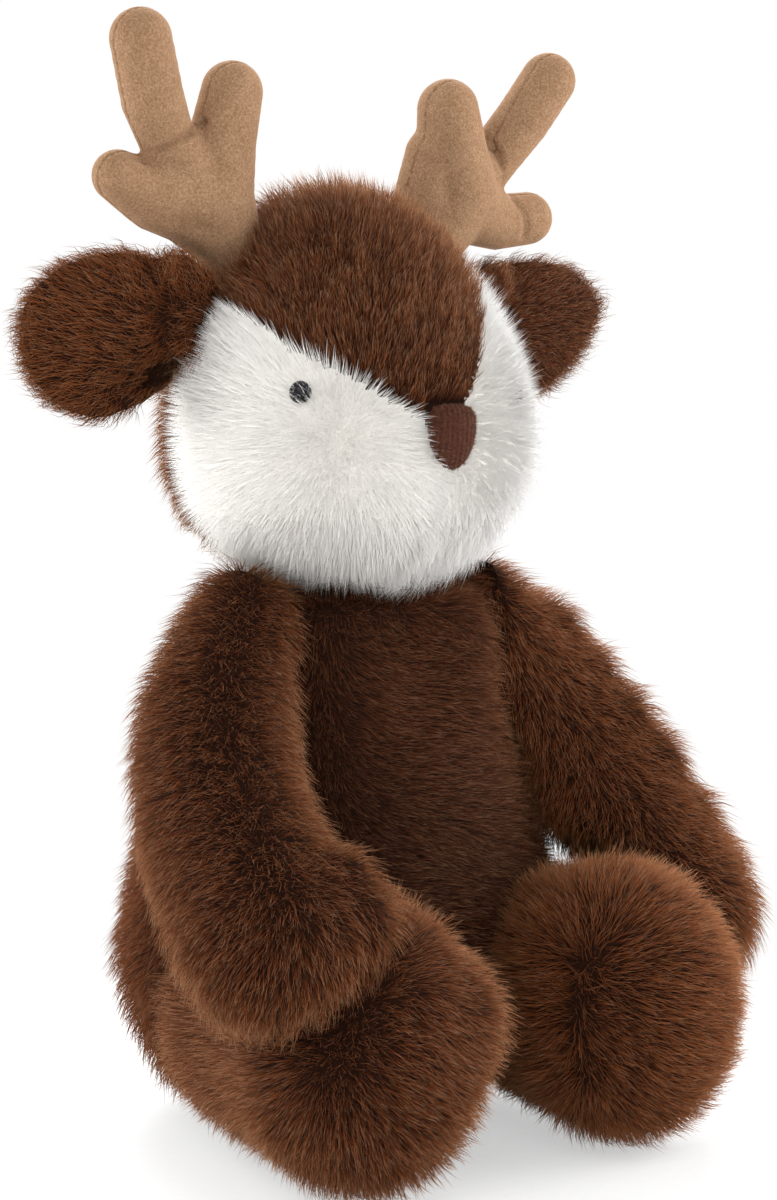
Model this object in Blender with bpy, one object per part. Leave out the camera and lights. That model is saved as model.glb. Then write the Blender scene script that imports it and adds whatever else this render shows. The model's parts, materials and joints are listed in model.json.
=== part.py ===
"""A seated plush deer: fur panels over stuffed forms, velvet antlers, bead eyes and a bean seat.

The toy faces -Y and sits on Z = 0. The origin is the middle of the flat seat under the body.
Sizes are in metres.
"""
import math

import bmesh
import bpy
from mathutils import Matrix, Vector

# Cloth and clearances
SKIN = 0.0026
VELVET = 0.0014
GAP = 0.0003
PINCHED_GAP = 0.0008
FLOOR_CUT = 0.0005
OVERRUN = 0.5

# Body, a pear with shoulders
BODY_HEIGHT = 0.1680
BODY_HALF_WIDTH = 0.0720
BODY_FRONT_DEPTH = 0.0530
BODY_BACK_DEPTH = 0.0650
SEAT_HEIGHT = 0.0060
BEAN_HEIGHT = 0.0400
# Height share, the share of the half width, the share of both depths, and how square the section is
BODY_SHARES = (
    (0.000, 0.34, 0.34, 0.0), (0.030, 0.62, 0.61, 0.0), (0.090, 0.81, 0.80, 0.0),
    (0.190, 0.94, 0.93, 0.0), (0.320, 1.00, 1.00, 0.0), (0.450, 0.96, 0.97, 0.0),
    (0.570, 0.87, 0.90, 0.0), (0.690, 0.69, 0.80, 0.3), (0.790, 0.535, 0.71, 0.9),
    (0.880, 0.515, 0.64, 1.2), (0.950, 0.49, 0.57, 1.0), (0.985, 0.36, 0.43, 0.4),
)

# Head, round about the neck's axis, with a crown that leans back
HEAD_BOTTOM = 0.1620
HEAD_HEIGHT = 0.1250
HEAD_RADIUS = 0.0568
CROWN_SETBACK = 0.0080
# Height share, the share of the radius, the share of the crown's setback
HEAD_SHARES = (
    (0.030, 0.42, 0.0), (0.100, 0.71, 0.0), (0.190, 0.90, 0.0), (0.300, 0.99, 0.0),
    (0.410, 1.00, 0.0), (0.520, 0.97, 0.1), (0.640, 0.88, 0.4), (0.760, 0.745, 0.7),
    (0.870, 0.57, 0.9), (0.950, 0.36, 1.0),
)

# Blaze, the brown wedge from the crown to the nose
EAR_SEAM_Y = 0.0080
BLAZE_TIP_Z = 0.2070
BLAZE_RISE_ANGLE = math.radians(37.5)

# Nose, a short pile patch
NOSE_HALF_WIDTH = 0.0080
NOSE_BOTTOM = 0.1985
NOSE_HEIGHT = 0.0180
NOSE_DEPTH = 0.0034
# Height share, then the share of the half width
NOSE_SHARES = ((0.04, 0.34), (0.15, 0.62), (0.35, 0.86), (0.60, 0.98), (0.82, 0.96), (0.95, 0.72))

# Eyes, domed beads with a shank and a washer behind the cloth
EYE_RADIUS = 0.0034
EYE_DOME_HEIGHT = 0.0028
EYE_Z = 0.2230
EYE_ANGLE = math.radians(47.0)
SHANK_RADIUS = 0.0013
SHANK_LENGTH = 0.0072
WASHER_RADIUS = 0.0045
WASHER_THICKNESS = 0.0012
WASHER_DEPTH = 0.0046

# Ears, paddles pinched at the root
EAR_ROOT_X = 0.0505
EAR_Z = 0.2385
EAR_REACH = 0.0560
EAR_HALF_HEIGHT = 0.0258
EAR_HALF_THICKNESS = 0.0072
EAR_LEAN_ANGLE = math.radians(17.0)
# Reach share, share of the half height, share of the half thickness
EAR_SHARES = (
    (-0.08, 0.64, 0.22), (0.06, 0.76, 0.26), (0.20, 0.90, 0.60), (0.40, 1.00, 0.92),
    (0.60, 0.97, 1.00), (0.78, 0.82, 0.92), (0.92, 0.54, 0.68), (0.98, 0.30, 0.40),
)

# Antlers, each a stem that splits into three blunt tines
ANTLER_ROOT = (0.0300, 0.0120, 0.2640)
ANTLER_FORK = (0.0500, 0.0060, 0.2860)
MAIN_TINE_REACH = (0.0241, -0.0115, 0.0361)
INNER_TINE_REACH = (-0.0115, -0.0052, 0.0255)
OUTER_TINE_REACH = (0.0250, 0.0000, -0.0062)
STEM_RADIUS = 0.0122
FORK_RADIUS = 0.0112
MAIN_TINE_RADIUS = 0.0086
INNER_TINE_RADIUS = 0.0086
OUTER_TINE_RADIUS = 0.0086
TINE_SWELL_SHARE = 1.07
INNER_TINE_START_SHARE = 0.55
ANTLER_LEAN_ANGLE = math.radians(15.6)

# Arms, hung from the shoulders
SHOULDER_X = 0.0400
SHOULDER_Y = -0.0090
SHOULDER_Z = 0.1560
ARM_LENGTH = 0.1150
ARM_ROOT_RADIUS = 0.0185
ARM_MIDDLE_RADIUS = 0.0235
PAW_RADIUS = 0.0262
ARM_BOW_OUT = 0.0090
ARM_BOW_BACK = 0.0110
RIGHT_ARM_SWING = math.radians(43.0)
RIGHT_ARM_SPREAD = math.radians(19.0)
LEFT_ARM_SWING = math.radians(29.0)
LEFT_ARM_SPREAD = math.radians(21.5)
# Moved so far, a limb still brushes what it lay against
LEG_BRUSH_ANGLE = math.radians(8.0)
ARM_BRUSH_ANGLES = tuple(math.radians(angle) for angle in (8.0, 15.0, 25.0, 36.0))

# Legs, laid forward from the lower edge of the body
HIP_X = 0.0460
HIP_Y = -0.0220
HIP_Z = 0.0400
HIP_HINGE_Y = -0.0100
LEG_LENGTH = 0.0560
THIGH_RADIUS = 0.0300
SHIN_RADIUS = 0.0320
FOOT_RADIUS = 0.0365
FOOT_Z = 0.0430
LEG_HEIGHT_SHARE = (FOOT_Z + FLOOR_CUT) / FOOT_RADIUS

# Tail, a short scut above the seat
TAIL_ROOT_Y = 0.0590
TAIL_ROOT_Z = 0.0380
TAIL_LENGTH = 0.0260
TAIL_ROOT_RADIUS = 0.0060
TAIL_MIDDLE_RADIUS = 0.0110
TAIL_TIP_RADIUS = 0.0080
TAIL_HEIGHT_SHARE = 0.55
TAIL_RISE_ANGLE = math.radians(20.0)
TAIL_WAG_ANGLE = math.radians(15.0)

# Facets
BODY_SIDES = 24
LIMB_SIDES = 12
TINE_SIDES = 8
SMALL_SIDES = 12
CAP_RINGS = 2
PATH_STEPS = 2
# Hidden inner faces need only this share of the sides
INNER_SIDES_SHARE = 0.6
SMOOTH_ANGLE = math.radians(40.0)

# Colour and roughness
FUR_BROWN = ((0.105, 0.042, 0.024), 0.95)
FUR_WHITE = ((0.800, 0.780, 0.740), 0.95)
VELVET_TAN = ((0.450, 0.270, 0.150), 0.85)
NOSE_BROWN = ((0.090, 0.036, 0.024), 0.90)
BEAD_BLACK = ((0.008, 0.007, 0.008), 0.12)
FIBRE_WHITE = ((0.860, 0.860, 0.840), 1.00)
BEAN_LINEN = ((0.620, 0.560, 0.470), 0.90)
WASHER_GREY = ((0.550, 0.550, 0.560), 0.45)

UP = Vector((0, 0, 1))
SIDES = (("right", -1), ("left", 1))


def clear_scene():
    for thing in list(bpy.data.objects):
        bpy.data.objects.remove(thing, do_unlink=True)


def sides_for(sides, inset):
    """How many sides a form gets. One that lies inside the cloth is coarser, with an even number."""
    return 2 * round(sides * INNER_SIDES_SHARE / 2) if inset > 0 else sides


def mirrored(place, side):
    """A place given for the toy's left, taken to the asked side."""
    return Vector((place[0] * side, place[1], place[2]))


def loft(rings, first_pole, last_pole):
    """Closed skin through rings of points, from one pole to the other.

    Every band is split along the same diagonal, so that nested skins stay a steady gap apart.
    """
    shape = bmesh.new()
    loops = [[shape.verts.new(point) for point in ring] for ring in rings]
    for lower, upper in zip(loops, loops[1:]):
        count = len(lower)
        for index in range(count):
            following = (index + 1) % count
            shape.faces.new((lower[index], lower[following], upper[following]))
            shape.faces.new((lower[index], upper[following], upper[index]))
    for loop, pole in ((loops[0], first_pole), (loops[-1], last_pole)):
        apex = shape.verts.new(pole)
        count = len(loop)
        for index in range(count):
            shape.faces.new((apex, loop[index], loop[(index + 1) % count]))
    bmesh.ops.recalc_face_normals(shape, faces=shape.faces[:])
    return shape


def body_form(inset):
    """The pear, drawn in all round by the inset. Its base lies below the floor, to be cut flat."""
    bottom = -FLOOR_CUT + inset
    height = BODY_HEIGHT + FLOOR_CUT - 2 * inset
    sides = sides_for(BODY_SIDES, inset)
    rings = []
    for height_share, width_share, depth_share, square_share in BODY_SHARES:
        width = BODY_HALF_WIDTH * width_share - inset
        ring = []
        for step in range(sides):
            angle = math.tau * step / sides
            depth = BODY_BACK_DEPTH if math.sin(angle) > 0 else BODY_FRONT_DEPTH
            squareness = 1 + square_share * math.sin(2 * angle) ** 2 / 4
            ring.append(Vector((width * math.cos(angle) * squareness,
                                (depth * depth_share - inset) * math.sin(angle) * squareness,
                                bottom + height * height_share)))
        rings.append(ring)
    return loft(rings, Vector((0, 0, bottom)), Vector((0, 0, bottom + height)))


def head_form(inset):
    bottom = HEAD_BOTTOM + inset
    height = HEAD_HEIGHT - 2 * inset
    sides = sides_for(BODY_SIDES, inset)
    rings = []
    for height_share, radius_share, setback_share in HEAD_SHARES:
        radius = HEAD_RADIUS * radius_share - inset
        rings.append([Vector((radius * math.cos(math.tau * step / sides),
                              radius * math.sin(math.tau * step / sides)
                              + CROWN_SETBACK * setback_share,
                              bottom + height * height_share)) for step in range(sides)])
    return loft(rings, Vector((0, 0, bottom)), Vector((0, CROWN_SETBACK, bottom + height)))


def head_section_at(height):
    """The head's radius and its middle's Y at a height, read between the rows of its table."""
    share = (height - HEAD_BOTTOM) / HEAD_HEIGHT
    lower, upper = HEAD_SHARES[0], HEAD_SHARES[-1]
    for below, above in zip(HEAD_SHARES, HEAD_SHARES[1:]):
        if below[0] <= share <= above[0]:
            lower, upper = below, above
    part = (share - lower[0]) / (upper[0] - lower[0])
    radius_share, setback_share = (low + (high - low) * part for low, high in zip(lower[1:], upper[1:]))
    return HEAD_RADIUS * radius_share, CROWN_SETBACK * setback_share


def smooth_path(points, steps):
    """Points of a smooth curve through the given ones. Each holds a place and a radius."""
    ends = [2 * points[0] - points[1], *points, 2 * points[-1] - points[-2]]
    smooth = []
    for index in range(len(points) - 1):
        before, start, end, after = ends[index:index + 4]
        for step in range(steps):
            t = step / steps
            smooth.append((2 * start + (end - before) * t
                           + (2 * before - 5 * start + 4 * end - after) * t ** 2
                           + (3 * start - before - 3 * end + after) * t ** 3) / 2)
    smooth.append(points[-1].copy())
    return smooth


def tube_form(points, inset, most_sides, height_share=1.0, up=UP):
    """A swelling tube with round ends through points of place and radius.

    The height share is the tube's height, along up, over its width.
    """
    sides = sides_for(most_sides, inset)
    smooth = smooth_path([Vector((*place, radius)) for place, radius in points], PATH_STEPS)
    places = [Vector(point[:3]) for point in smooth]
    radii = [point[3] for point in smooth]
    last = len(places) - 1
    tangents = [(places[min(index + 1, last)] - places[max(index - 1, 0)]).normalized()
                for index in range(last + 1)]
    turns = [math.pi / 2 * step / (CAP_RINGS + 1) for step in range(1, CAP_RINGS + 1)]
    tips = (radii[0] - inset, radii[-1] - inset)
    stations = [(places[0] - tangents[0] * tips[0] * math.cos(turn), radii[0], math.sin(turn),
                 tangents[0]) for turn in turns]
    stations += [(place, radius, 1.0, tangent)
                 for place, radius, tangent in zip(places, radii, tangents)]
    stations += [(places[-1] + tangents[-1] * tips[1] * math.cos(turn), radii[-1], math.sin(turn),
                  tangents[-1]) for turn in reversed(turns)]
    rings = []
    for place, radius, roundness, tangent in stations:
        across = tangent.cross(up).normalized()
        over = across.cross(tangent).normalized()
        width = (radius - inset) * roundness
        height = (radius * height_share - inset) * roundness
        rings.append([place + across * width * math.cos(math.tau * step / sides)
                      + over * height * math.sin(math.tau * step / sides)
                      for step in range(sides)])
    return loft(rings, places[0] - tangents[0] * tips[0], places[-1] + tangents[-1] * tips[1])


def turned_form(profile, start, direction, sides):
    """Solid turned about a direction, from distances along it and radii. Its ends are poles."""
    frame = Matrix.Translation(start) @ direction.to_track_quat("Z", "Y").to_matrix().to_4x4()
    rings = [[frame @ Vector((radius * math.cos(math.tau * step / sides),
                              radius * math.sin(math.tau * step / sides), distance))
              for step in range(sides)] for distance, radius in profile[1:-1]]
    return loft(rings, frame @ Vector((0, 0, profile[0][0])), frame @ Vector((0, 0, profile[-1][0])))


def rod_form(radius, start, direction, length, sides=SMALL_SIDES):
    profile = ((0, 0), (0, radius), (length, radius), (length, 0))
    return turned_form(profile, start, direction, sides)


def ring_form(inner, outer, start, direction, thickness):
    """A flat washer, made by sweeping its section once round."""
    shape = bmesh.new()
    corners = ((inner, 0), (outer, 0), (outer, thickness), (inner, thickness))
    section = [shape.verts.new((radius, 0, height)) for radius, height in corners]
    edges = [shape.edges.new((section[index - 1], section[index])) for index in range(len(section))]
    bmesh.ops.spin(shape, geom=section + edges, cent=(0, 0, 0), axis=(0, 0, 1), angle=math.tau,
                   steps=SMALL_SIDES, use_merge=True)
    frame = Matrix.Translation(start) @ direction.to_track_quat("Z", "Y").to_matrix().to_4x4()
    bmesh.ops.transform(shape, matrix=frame, verts=shape.verts[:])
    bmesh.ops.recalc_face_normals(shape, faces=shape.faces[:])
    return shape


def keep_below(shape, place, normal):
    """Cut a closed shape by a plane, and close what lies behind it."""
    cut = bmesh.ops.bisect_plane(shape, geom=shape.verts[:] + shape.edges[:] + shape.faces[:],
                                 plane_co=place, plane_no=normal, clear_outer=True)
    rim = [item for item in cut["geom_cut"] if isinstance(item, bmesh.types.BMEdge)]
    bmesh.ops.holes_fill(shape, edges=rim, sides=0)
    bmesh.ops.recalc_face_normals(shape, faces=shape.faces[:])
    return shape


def swung(shape, pivot, axis, angle):
    """The shape after a turn about a line."""
    bmesh.ops.rotate(shape, verts=shape.verts[:], cent=pivot, matrix=Matrix.Rotation(angle, 3, axis))
    return shape


def hull_of(shapes):
    """The tight convex skin round all of the shapes."""
    hull = bmesh.new()
    points = [hull.verts.new(vert.co) for shape in shapes for vert in shape.verts]
    skin = bmesh.ops.convex_hull(hull, input=points)
    loose = [item for item in skin["geom_interior"] if isinstance(item, bmesh.types.BMVert)]
    bmesh.ops.delete(hull, geom=loose, context="VERTS")
    return hull


class Workshop:
    """Makes the toy's pieces and keeps the finishes and the shapes that cut them."""

    def __init__(self):
        self.finishes = {}

    def finish(self, name, look):
        if name not in self.finishes:
            colour, roughness = look
            made = bpy.data.materials.new(name)
            made.use_nodes = True
            shader = made.node_tree.nodes["Principled BSDF"]
            shader.inputs["Base Color"].default_value = (*colour, 1)
            shader.inputs["Roughness"].default_value = roughness
            shader.inputs["Metallic"].default_value = 0
            self.finishes[name] = made
        return self.finishes[name]

    def place(self, name, shape, pivot=Vector()):
        """Link a shape as an object whose origin lies at the pivot."""
        bmesh.ops.translate(shape, verts=shape.verts[:], vec=-Vector(pivot))
        mesh = bpy.data.meshes.new(name)
        shape.to_mesh(mesh)
        shape.free()
        mesh.shade_smooth()
        mesh.set_sharp_from_angle(angle=SMOOTH_ANGLE)
        made = bpy.data.objects.new(name, mesh)
        made.location = pivot
        bpy.context.collection.objects.link(made)
        return made

    def piece(self, name, shape, look_name, look, tools=(), pivot=Vector()):
        """A finished piece, cut by each of the tools."""
        made = self.place(name, shape, pivot)
        made.data.materials.append(self.finish(look_name, look))
        for tool in tools:
            self.boolean(made, tool, "DIFFERENCE")
        return made

    def tool(self, name, shape):
        """A shape that only cuts or joins others."""
        made = self.place(name, shape)
        made.hide_render = True
        made.display_type = "WIRE"
        return made

    @staticmethod
    def boolean(made, tool, operation):
        cut = made.modifiers.new(f"{operation.lower()}_{tool.name}", "BOOLEAN")
        cut.operation = operation
        cut.solver = "EXACT"
        cut.object = tool


def leg_points(side):
    hip = Vector((HIP_X * side, HIP_Y, HIP_Z))
    foot = Vector((HIP_X * side, HIP_Y - LEG_LENGTH, FOOT_Z))
    return ((hip, THIGH_RADIUS), ((hip + foot) / 2, SHIN_RADIUS), (foot, FOOT_RADIUS))


def leg_form(side, inset):
    return tube_form(leg_points(side), inset, LIMB_SIDES, LEG_HEIGHT_SHARE)


def arm_points(side):
    """The arm's middle line, bowed out and back between the shoulder and the paw."""
    swing, spread = ((RIGHT_ARM_SWING, RIGHT_ARM_SPREAD) if side < 0
                     else (LEFT_ARM_SWING, LEFT_ARM_SPREAD))
    reach = Vector((side * math.sin(spread), -math.cos(spread) * math.sin(swing),
                    -math.cos(spread) * math.cos(swing))) * ARM_LENGTH
    shoulder = Vector((SHOULDER_X * side, SHOULDER_Y, SHOULDER_Z))
    bow = Vector((ARM_BOW_OUT * side, ARM_BOW_BACK, 0))
    shares = (0, 1 / 3, 2 / 3, 1)
    radii = (ARM_ROOT_RADIUS, ARM_MIDDLE_RADIUS, (ARM_MIDDLE_RADIUS + PAW_RADIUS) / 2, PAW_RADIUS)
    return tuple((shoulder + reach * share + bow * math.sin(math.pi * share), radius)
                 for share, radius in zip(shares, radii))


def arm_form(side, inset):
    return tube_form(arm_points(side), inset, LIMB_SIDES)


def build_body(shop, head_cutter):
    hollow = shop.tool("body_hollow", body_form(SKIN))
    level = Vector((0, 0, SEAT_HEIGHT))
    seat = keep_below(body_form(0), Vector(), -UP)
    seat = keep_below(seat, level, UP)
    shop.piece("seat_panel", seat, "brown_fur", FUR_BROWN, (hollow,))
    regions = {
        "body_front_panel": ((0, 1, 0),),
        "body_back_left_panel": ((0, -1, 0), (-1, 0, 0)),
        "body_back_right_panel": ((0, -1, 0), (1, 0, 0)),
    }
    for name, normals in regions.items():
        shape = keep_below(body_form(0), level + UP * GAP, -UP)
        for normal in normals:
            shape = keep_below(shape, -Vector(normal) * GAP / 2, Vector(normal))
        shop.piece(name, shape, "brown_fur", FUR_BROWN, (hollow, head_cutter))
    beans = keep_below(body_form(SKIN + GAP), Vector((0, 0, BEAN_HEIGHT)), UP)
    shop.piece("bean_pouch", beans, "bean_linen", BEAN_LINEN)
    filling = keep_below(body_form(SKIN + GAP), Vector((0, 0, BEAN_HEIGHT + GAP)), -UP)
    shop.piece("body_stuffing", filling, "fibre", FIBRE_WHITE, (head_cutter,))


def eye_place(side):
    """The middle of the eye on the cloth, and the way that it faces."""
    level = Vector((side * math.sin(EYE_ANGLE), -math.cos(EYE_ANGLE), 0))
    heights = (EYE_Z, EYE_Z - EYE_RADIUS, EYE_Z + EYE_RADIUS)
    middle, lower, upper = (level * radius + Vector((0, setback, height))
                            for height in heights for radius, setback in (head_section_at(height),))
    slope = (upper - lower).normalized()
    return middle, (level - slope * level.dot(slope)).normalized()


def build_head(shop, head_cutter):
    hollow = shop.tool("head_hollow", head_form(SKIN))
    neck = Vector((0, 0, HEAD_BOTTOM))
    back = keep_below(head_form(0), Vector((0, EAR_SEAM_Y + GAP / 2, 0)), Vector((0, -1, 0)))
    shop.piece("head_back_panel", back, "brown_fur", FUR_BROWN, (hollow,), neck)
    front_seam = Vector((0, EAR_SEAM_Y - GAP / 2, 0))
    tip = Vector((0, 0, BLAZE_TIP_Z))
    blaze = keep_below(head_form(0), front_seam, Vector((0, 1, 0)))
    pockets = []
    for side_name, side in SIDES:
        place, outward = eye_place(side)
        # The side's blaze seam rises outwards from the nose
        seam = Vector((-side * math.sin(BLAZE_RISE_ANGLE), 0, math.cos(BLAZE_RISE_ANGLE)))
        blaze = keep_below(blaze, tip + seam * GAP / 2, -seam)
        cheek = keep_below(head_form(0), front_seam, Vector((0, 1, 0)))
        cheek = keep_below(cheek, tip - seam * GAP / 2, seam)
        cheek = keep_below(cheek, Vector((side * GAP / 2, 0, 0)), Vector((-side, 0, 0)))
        hole = shop.tool(f"shank_hole_{side_name}",
                         rod_form(SHANK_RADIUS + GAP, place + outward * SKIN, -outward, WASHER_DEPTH + SKIN))
        shop.piece(f"cheek_{side_name}_panel", cheek, "white_fur", FUR_WHITE, (hollow, hole), neck)
        pocket = rod_form(WASHER_RADIUS + GAP, place, -outward, SHANK_LENGTH + 3 * GAP)
        pockets.append(shop.tool(f"washer_pocket_{side_name}", pocket))
        dome = [(GAP + EYE_DOME_HEIGHT, 0)]
        for step in range(1, CAP_RINGS + 1):
            turn = math.pi / 2 * step / (CAP_RINGS + 1)
            dome.append((GAP + EYE_DOME_HEIGHT * math.cos(turn), EYE_RADIUS * math.sin(turn)))
        dome += [(GAP * 2, EYE_RADIUS), (GAP, EYE_RADIUS - GAP), (GAP, SHANK_RADIUS),
                 (GAP - SHANK_LENGTH, SHANK_RADIUS), (GAP - SHANK_LENGTH, 0)]
        eye = turned_form(dome, place, outward, SMALL_SIDES)
        shop.piece(f"eye_{side_name}", eye, "black_bead", BEAD_BLACK, (), neck)
        washer = ring_form(SHANK_RADIUS + GAP, WASHER_RADIUS, place - outward * WASHER_DEPTH,
                           -outward, WASHER_THICKNESS)
        shop.piece(f"eye_washer_{side_name}", washer, "washer_plastic", WASHER_GREY, (), neck)
    shop.piece("blaze_panel", blaze, "brown_fur", FUR_BROWN, (hollow,), neck)
    shop.piece("head_stuffing", head_form(SKIN + GAP), "fibre", FIBRE_WHITE, pockets, neck)
    radius, middle = head_section_at(NOSE_BOTTOM + NOSE_HEIGHT / 2)
    front = middle - radius
    rings = []
    for height_share, width_share in NOSE_SHARES:
        width = NOSE_HALF_WIDTH * width_share
        depth = (NOSE_DEPTH + GAP) * width_share
        rings.append([Vector((width * math.cos(math.tau * step / SMALL_SIDES),
                              front + depth * math.sin(math.tau * step / SMALL_SIDES),
                              NOSE_BOTTOM + NOSE_HEIGHT * height_share))
                      for step in range(SMALL_SIDES)])
    nose = loft(rings, Vector((0, front, NOSE_BOTTOM)), Vector((0, front, NOSE_BOTTOM + NOSE_HEIGHT)))
    shop.piece("nose", nose, "nose_pile", NOSE_BROWN, (head_cutter,), neck)


def build_ears(shop):
    """Each ear is two panels. Its root is pinched thin, so that it flaps on its seam."""
    cutter = shop.tool("ear_seam_clearance", head_form(-PINCHED_GAP))
    for side_name, side in SIDES:
        root = Vector((EAR_ROOT_X * side, EAR_SEAM_Y, EAR_Z))
        rings = []
        for reach_share, height_share, thickness_share in EAR_SHARES:
            ring = []
            for step in range(LIMB_SIDES):
                angle = math.tau * step / LIMB_SIDES
                rise = EAR_HALF_HEIGHT * height_share * math.sin(angle)
                lean = math.tan(EAR_LEAN_ANGLE) * rise * (1 - reach_share)
                ring.append(root + Vector(((EAR_REACH * reach_share - lean) * side,
                                           EAR_HALF_THICKNESS * thickness_share * math.cos(angle),
                                           rise)))
            rings.append(ring)
        poles = [root + Vector((EAR_REACH * share * side, 0, 0)) for share in (EAR_SHARES[0][0], 1)]
        for panel_name, facing in (("front", 1), ("back", -1)):
            panel = keep_below(loft(rings, *poles), Vector((0, EAR_SEAM_Y - facing * GAP / 2, 0)),
                               Vector((0, facing, 0)))
            shop.piece(f"ear_{side_name}_{panel_name}_panel", panel, "brown_fur", FUR_BROWN,
                       (cutter,), root)


def antler_lines(side):
    """The stem with its main tine, then the inner and the outer tine."""
    root = mirrored(ANTLER_ROOT, side)
    fork = mirrored(ANTLER_FORK, side)
    lines = {}
    middle = fork + mirrored(MAIN_TINE_REACH, side) / 2
    lines["stem"] = ((root, STEM_RADIUS), (fork, FORK_RADIUS),
                     (middle, MAIN_TINE_RADIUS * TINE_SWELL_SHARE),
                     (fork + mirrored(MAIN_TINE_REACH, side), MAIN_TINE_RADIUS))
    start = root.lerp(fork, INNER_TINE_START_SHARE)
    end = fork + mirrored(INNER_TINE_REACH, side)
    lines["inner_tine"] = ((start, FORK_RADIUS), ((start + end) / 2, INNER_TINE_RADIUS * TINE_SWELL_SHARE),
                           (end, INNER_TINE_RADIUS))
    end = fork + mirrored(OUTER_TINE_REACH, side)
    lines["outer_tine"] = ((fork, INNER_TINE_RADIUS), ((fork + end) / 2, OUTER_TINE_RADIUS),
                           (end, OUTER_TINE_RADIUS))
    return lines


def build_antlers(shop, head_cutter):
    """Velvet front and back panels, sewn round the outline, over one stuffing."""
    facing = Vector((0, math.cos(ANTLER_LEAN_ANGLE), math.sin(ANTLER_LEAN_ANGLE)))
    for side_name, side in SIDES:
        lines = antler_lines(side)
        middle = mirrored(ANTLER_FORK, side)
        tools = {}
        for line_name, points in lines.items():
            for coat, inset in (("outer", 0), ("hollow", VELVET), ("core", VELVET + GAP)):
                tools[line_name, coat] = shop.tool(
                    f"antler_{side_name}_{line_name}_{coat}",
                    tube_form(points, inset, TINE_SIDES, 1, facing))
        for panel_name, way in (("front", 1), ("back", -1)):
            block = bmesh.new()
            bmesh.ops.create_cube(block, size=OVERRUN)
            turn = Matrix.Rotation(ANTLER_LEAN_ANGLE, 4, "X")
            shift = Matrix.Translation(middle + facing * way * (OVERRUN / 2 - GAP / 2))
            bmesh.ops.transform(block, matrix=shift @ turn, verts=block.verts[:])
            half = shop.tool(f"antler_{side_name}_{panel_name}_half", block)
            panel = shop.piece(f"antler_{side_name}_{panel_name}_panel",
                               tube_form(lines["stem"], 0, TINE_SIDES, 1, facing),
                               "tan_velvet", VELVET_TAN)
            for line_name in ("inner_tine", "outer_tine"):
                shop.boolean(panel, tools[line_name, "outer"], "UNION")
            for line_name in lines:
                shop.boolean(panel, tools[line_name, "hollow"], "DIFFERENCE")
            shop.boolean(panel, half, "DIFFERENCE")
            shop.boolean(panel, head_cutter, "DIFFERENCE")
        core = shop.piece(f"antler_{side_name}_stuffing",
                          tube_form(lines["stem"], VELVET + GAP, TINE_SIDES, 1, facing),
                          "fibre", FIBRE_WHITE)
        for line_name in ("inner_tine", "outer_tine"):
            shop.boolean(core, tools[line_name, "core"], "UNION")
        shop.boolean(core, head_cutter, "DIFFERENCE")


def build_legs(shop, body_cutter):
    """The legs hinge on the floor line, and nothing of them lies behind it to rise into the body."""
    rearward = Vector((0, 1, 0))
    for side_name, side in SIDES:
        pivot = Vector((HIP_X * side, HIP_HINGE_Y, 0))
        hollow = keep_below(leg_form(side, SKIN), pivot - rearward * SKIN, rearward)
        hollow = shop.tool(f"leg_{side_name}_hollow", hollow)
        for panel_name, way in (("inner", side), ("outer", -side)):
            panel = keep_below(leg_form(side, 0), Vector(), -UP)
            panel = keep_below(panel, pivot, rearward)
            seam = Vector((HIP_X * side - way * GAP / 2, 0, 0))
            panel = keep_below(panel, seam, Vector((way, 0, 0)))
            shop.piece(f"leg_{side_name}_{panel_name}_panel", panel, "brown_fur", FUR_BROWN,
                       (hollow, body_cutter), pivot)
        core = keep_below(leg_form(side, SKIN + GAP), pivot - rearward * (SKIN + GAP), rearward)
        shop.piece(f"leg_{side_name}_stuffing", core, "fibre", FIBRE_WHITE, (body_cutter,), pivot)


def build_arms(shop, body_cutter, head_cutter):
    """The arms hang from flat armholes and lie against the legs, which cut them."""
    for side_name, side in SIDES:
        points = arm_points(side)
        pivot = Vector((SHOULDER_X * side, SHOULDER_Y, SHOULDER_Z))
        hinge = Vector((1, 0, 0))
        inward = Vector((-side, 0, 0))
        armhole = Vector(((SHOULDER_X + GAP) * side, 0, 0))
        hollow = keep_below(arm_form(side, SKIN), armhole - inward * SKIN, inward)
        hollow = shop.tool(f"arm_{side_name}_hollow", hollow)
        brushed_legs = [swung(leg_form(side, -2 * GAP), pivot, hinge, angle)
                        for angle in (0, *ARM_BRUSH_ANGLES)]
        hip = Vector((0, HIP_HINGE_Y, 0))
        brushed_legs.append(swung(leg_form(side, -2 * GAP), hip, hinge, LEG_BRUSH_ANGLE))
        leg_cutter = shop.tool(f"leg_{side_name}_clearance", hull_of(brushed_legs))
        chord = points[-1][0] - points[0][0]
        outward = chord.cross(Vector((0, side, 0))).normalized()
        cutters = [body_cutter, leg_cutter, head_cutter]
        for step, angle in enumerate(ARM_BRUSH_ANGLES):
            brushed = swung(body_form(-GAP), pivot, hinge, angle)
            cutters.append(shop.tool(f"arm_{side_name}_brush_{step}", brushed))
        for panel_name, way in (("inner", 1), ("outer", -1)):
            panel = keep_below(arm_form(side, 0), armhole, inward)
            seam = pivot - outward * way * GAP / 2
            panel = keep_below(panel, seam, outward * way)
            shop.piece(f"arm_{side_name}_{panel_name}_panel", panel, "brown_fur", FUR_BROWN,
                       (hollow, *cutters), pivot)
        core = keep_below(arm_form(side, SKIN + GAP), armhole - inward * (SKIN + GAP), inward)
        shop.piece(f"arm_{side_name}_stuffing", core, "fibre", FIBRE_WHITE, cutters, pivot)


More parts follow.
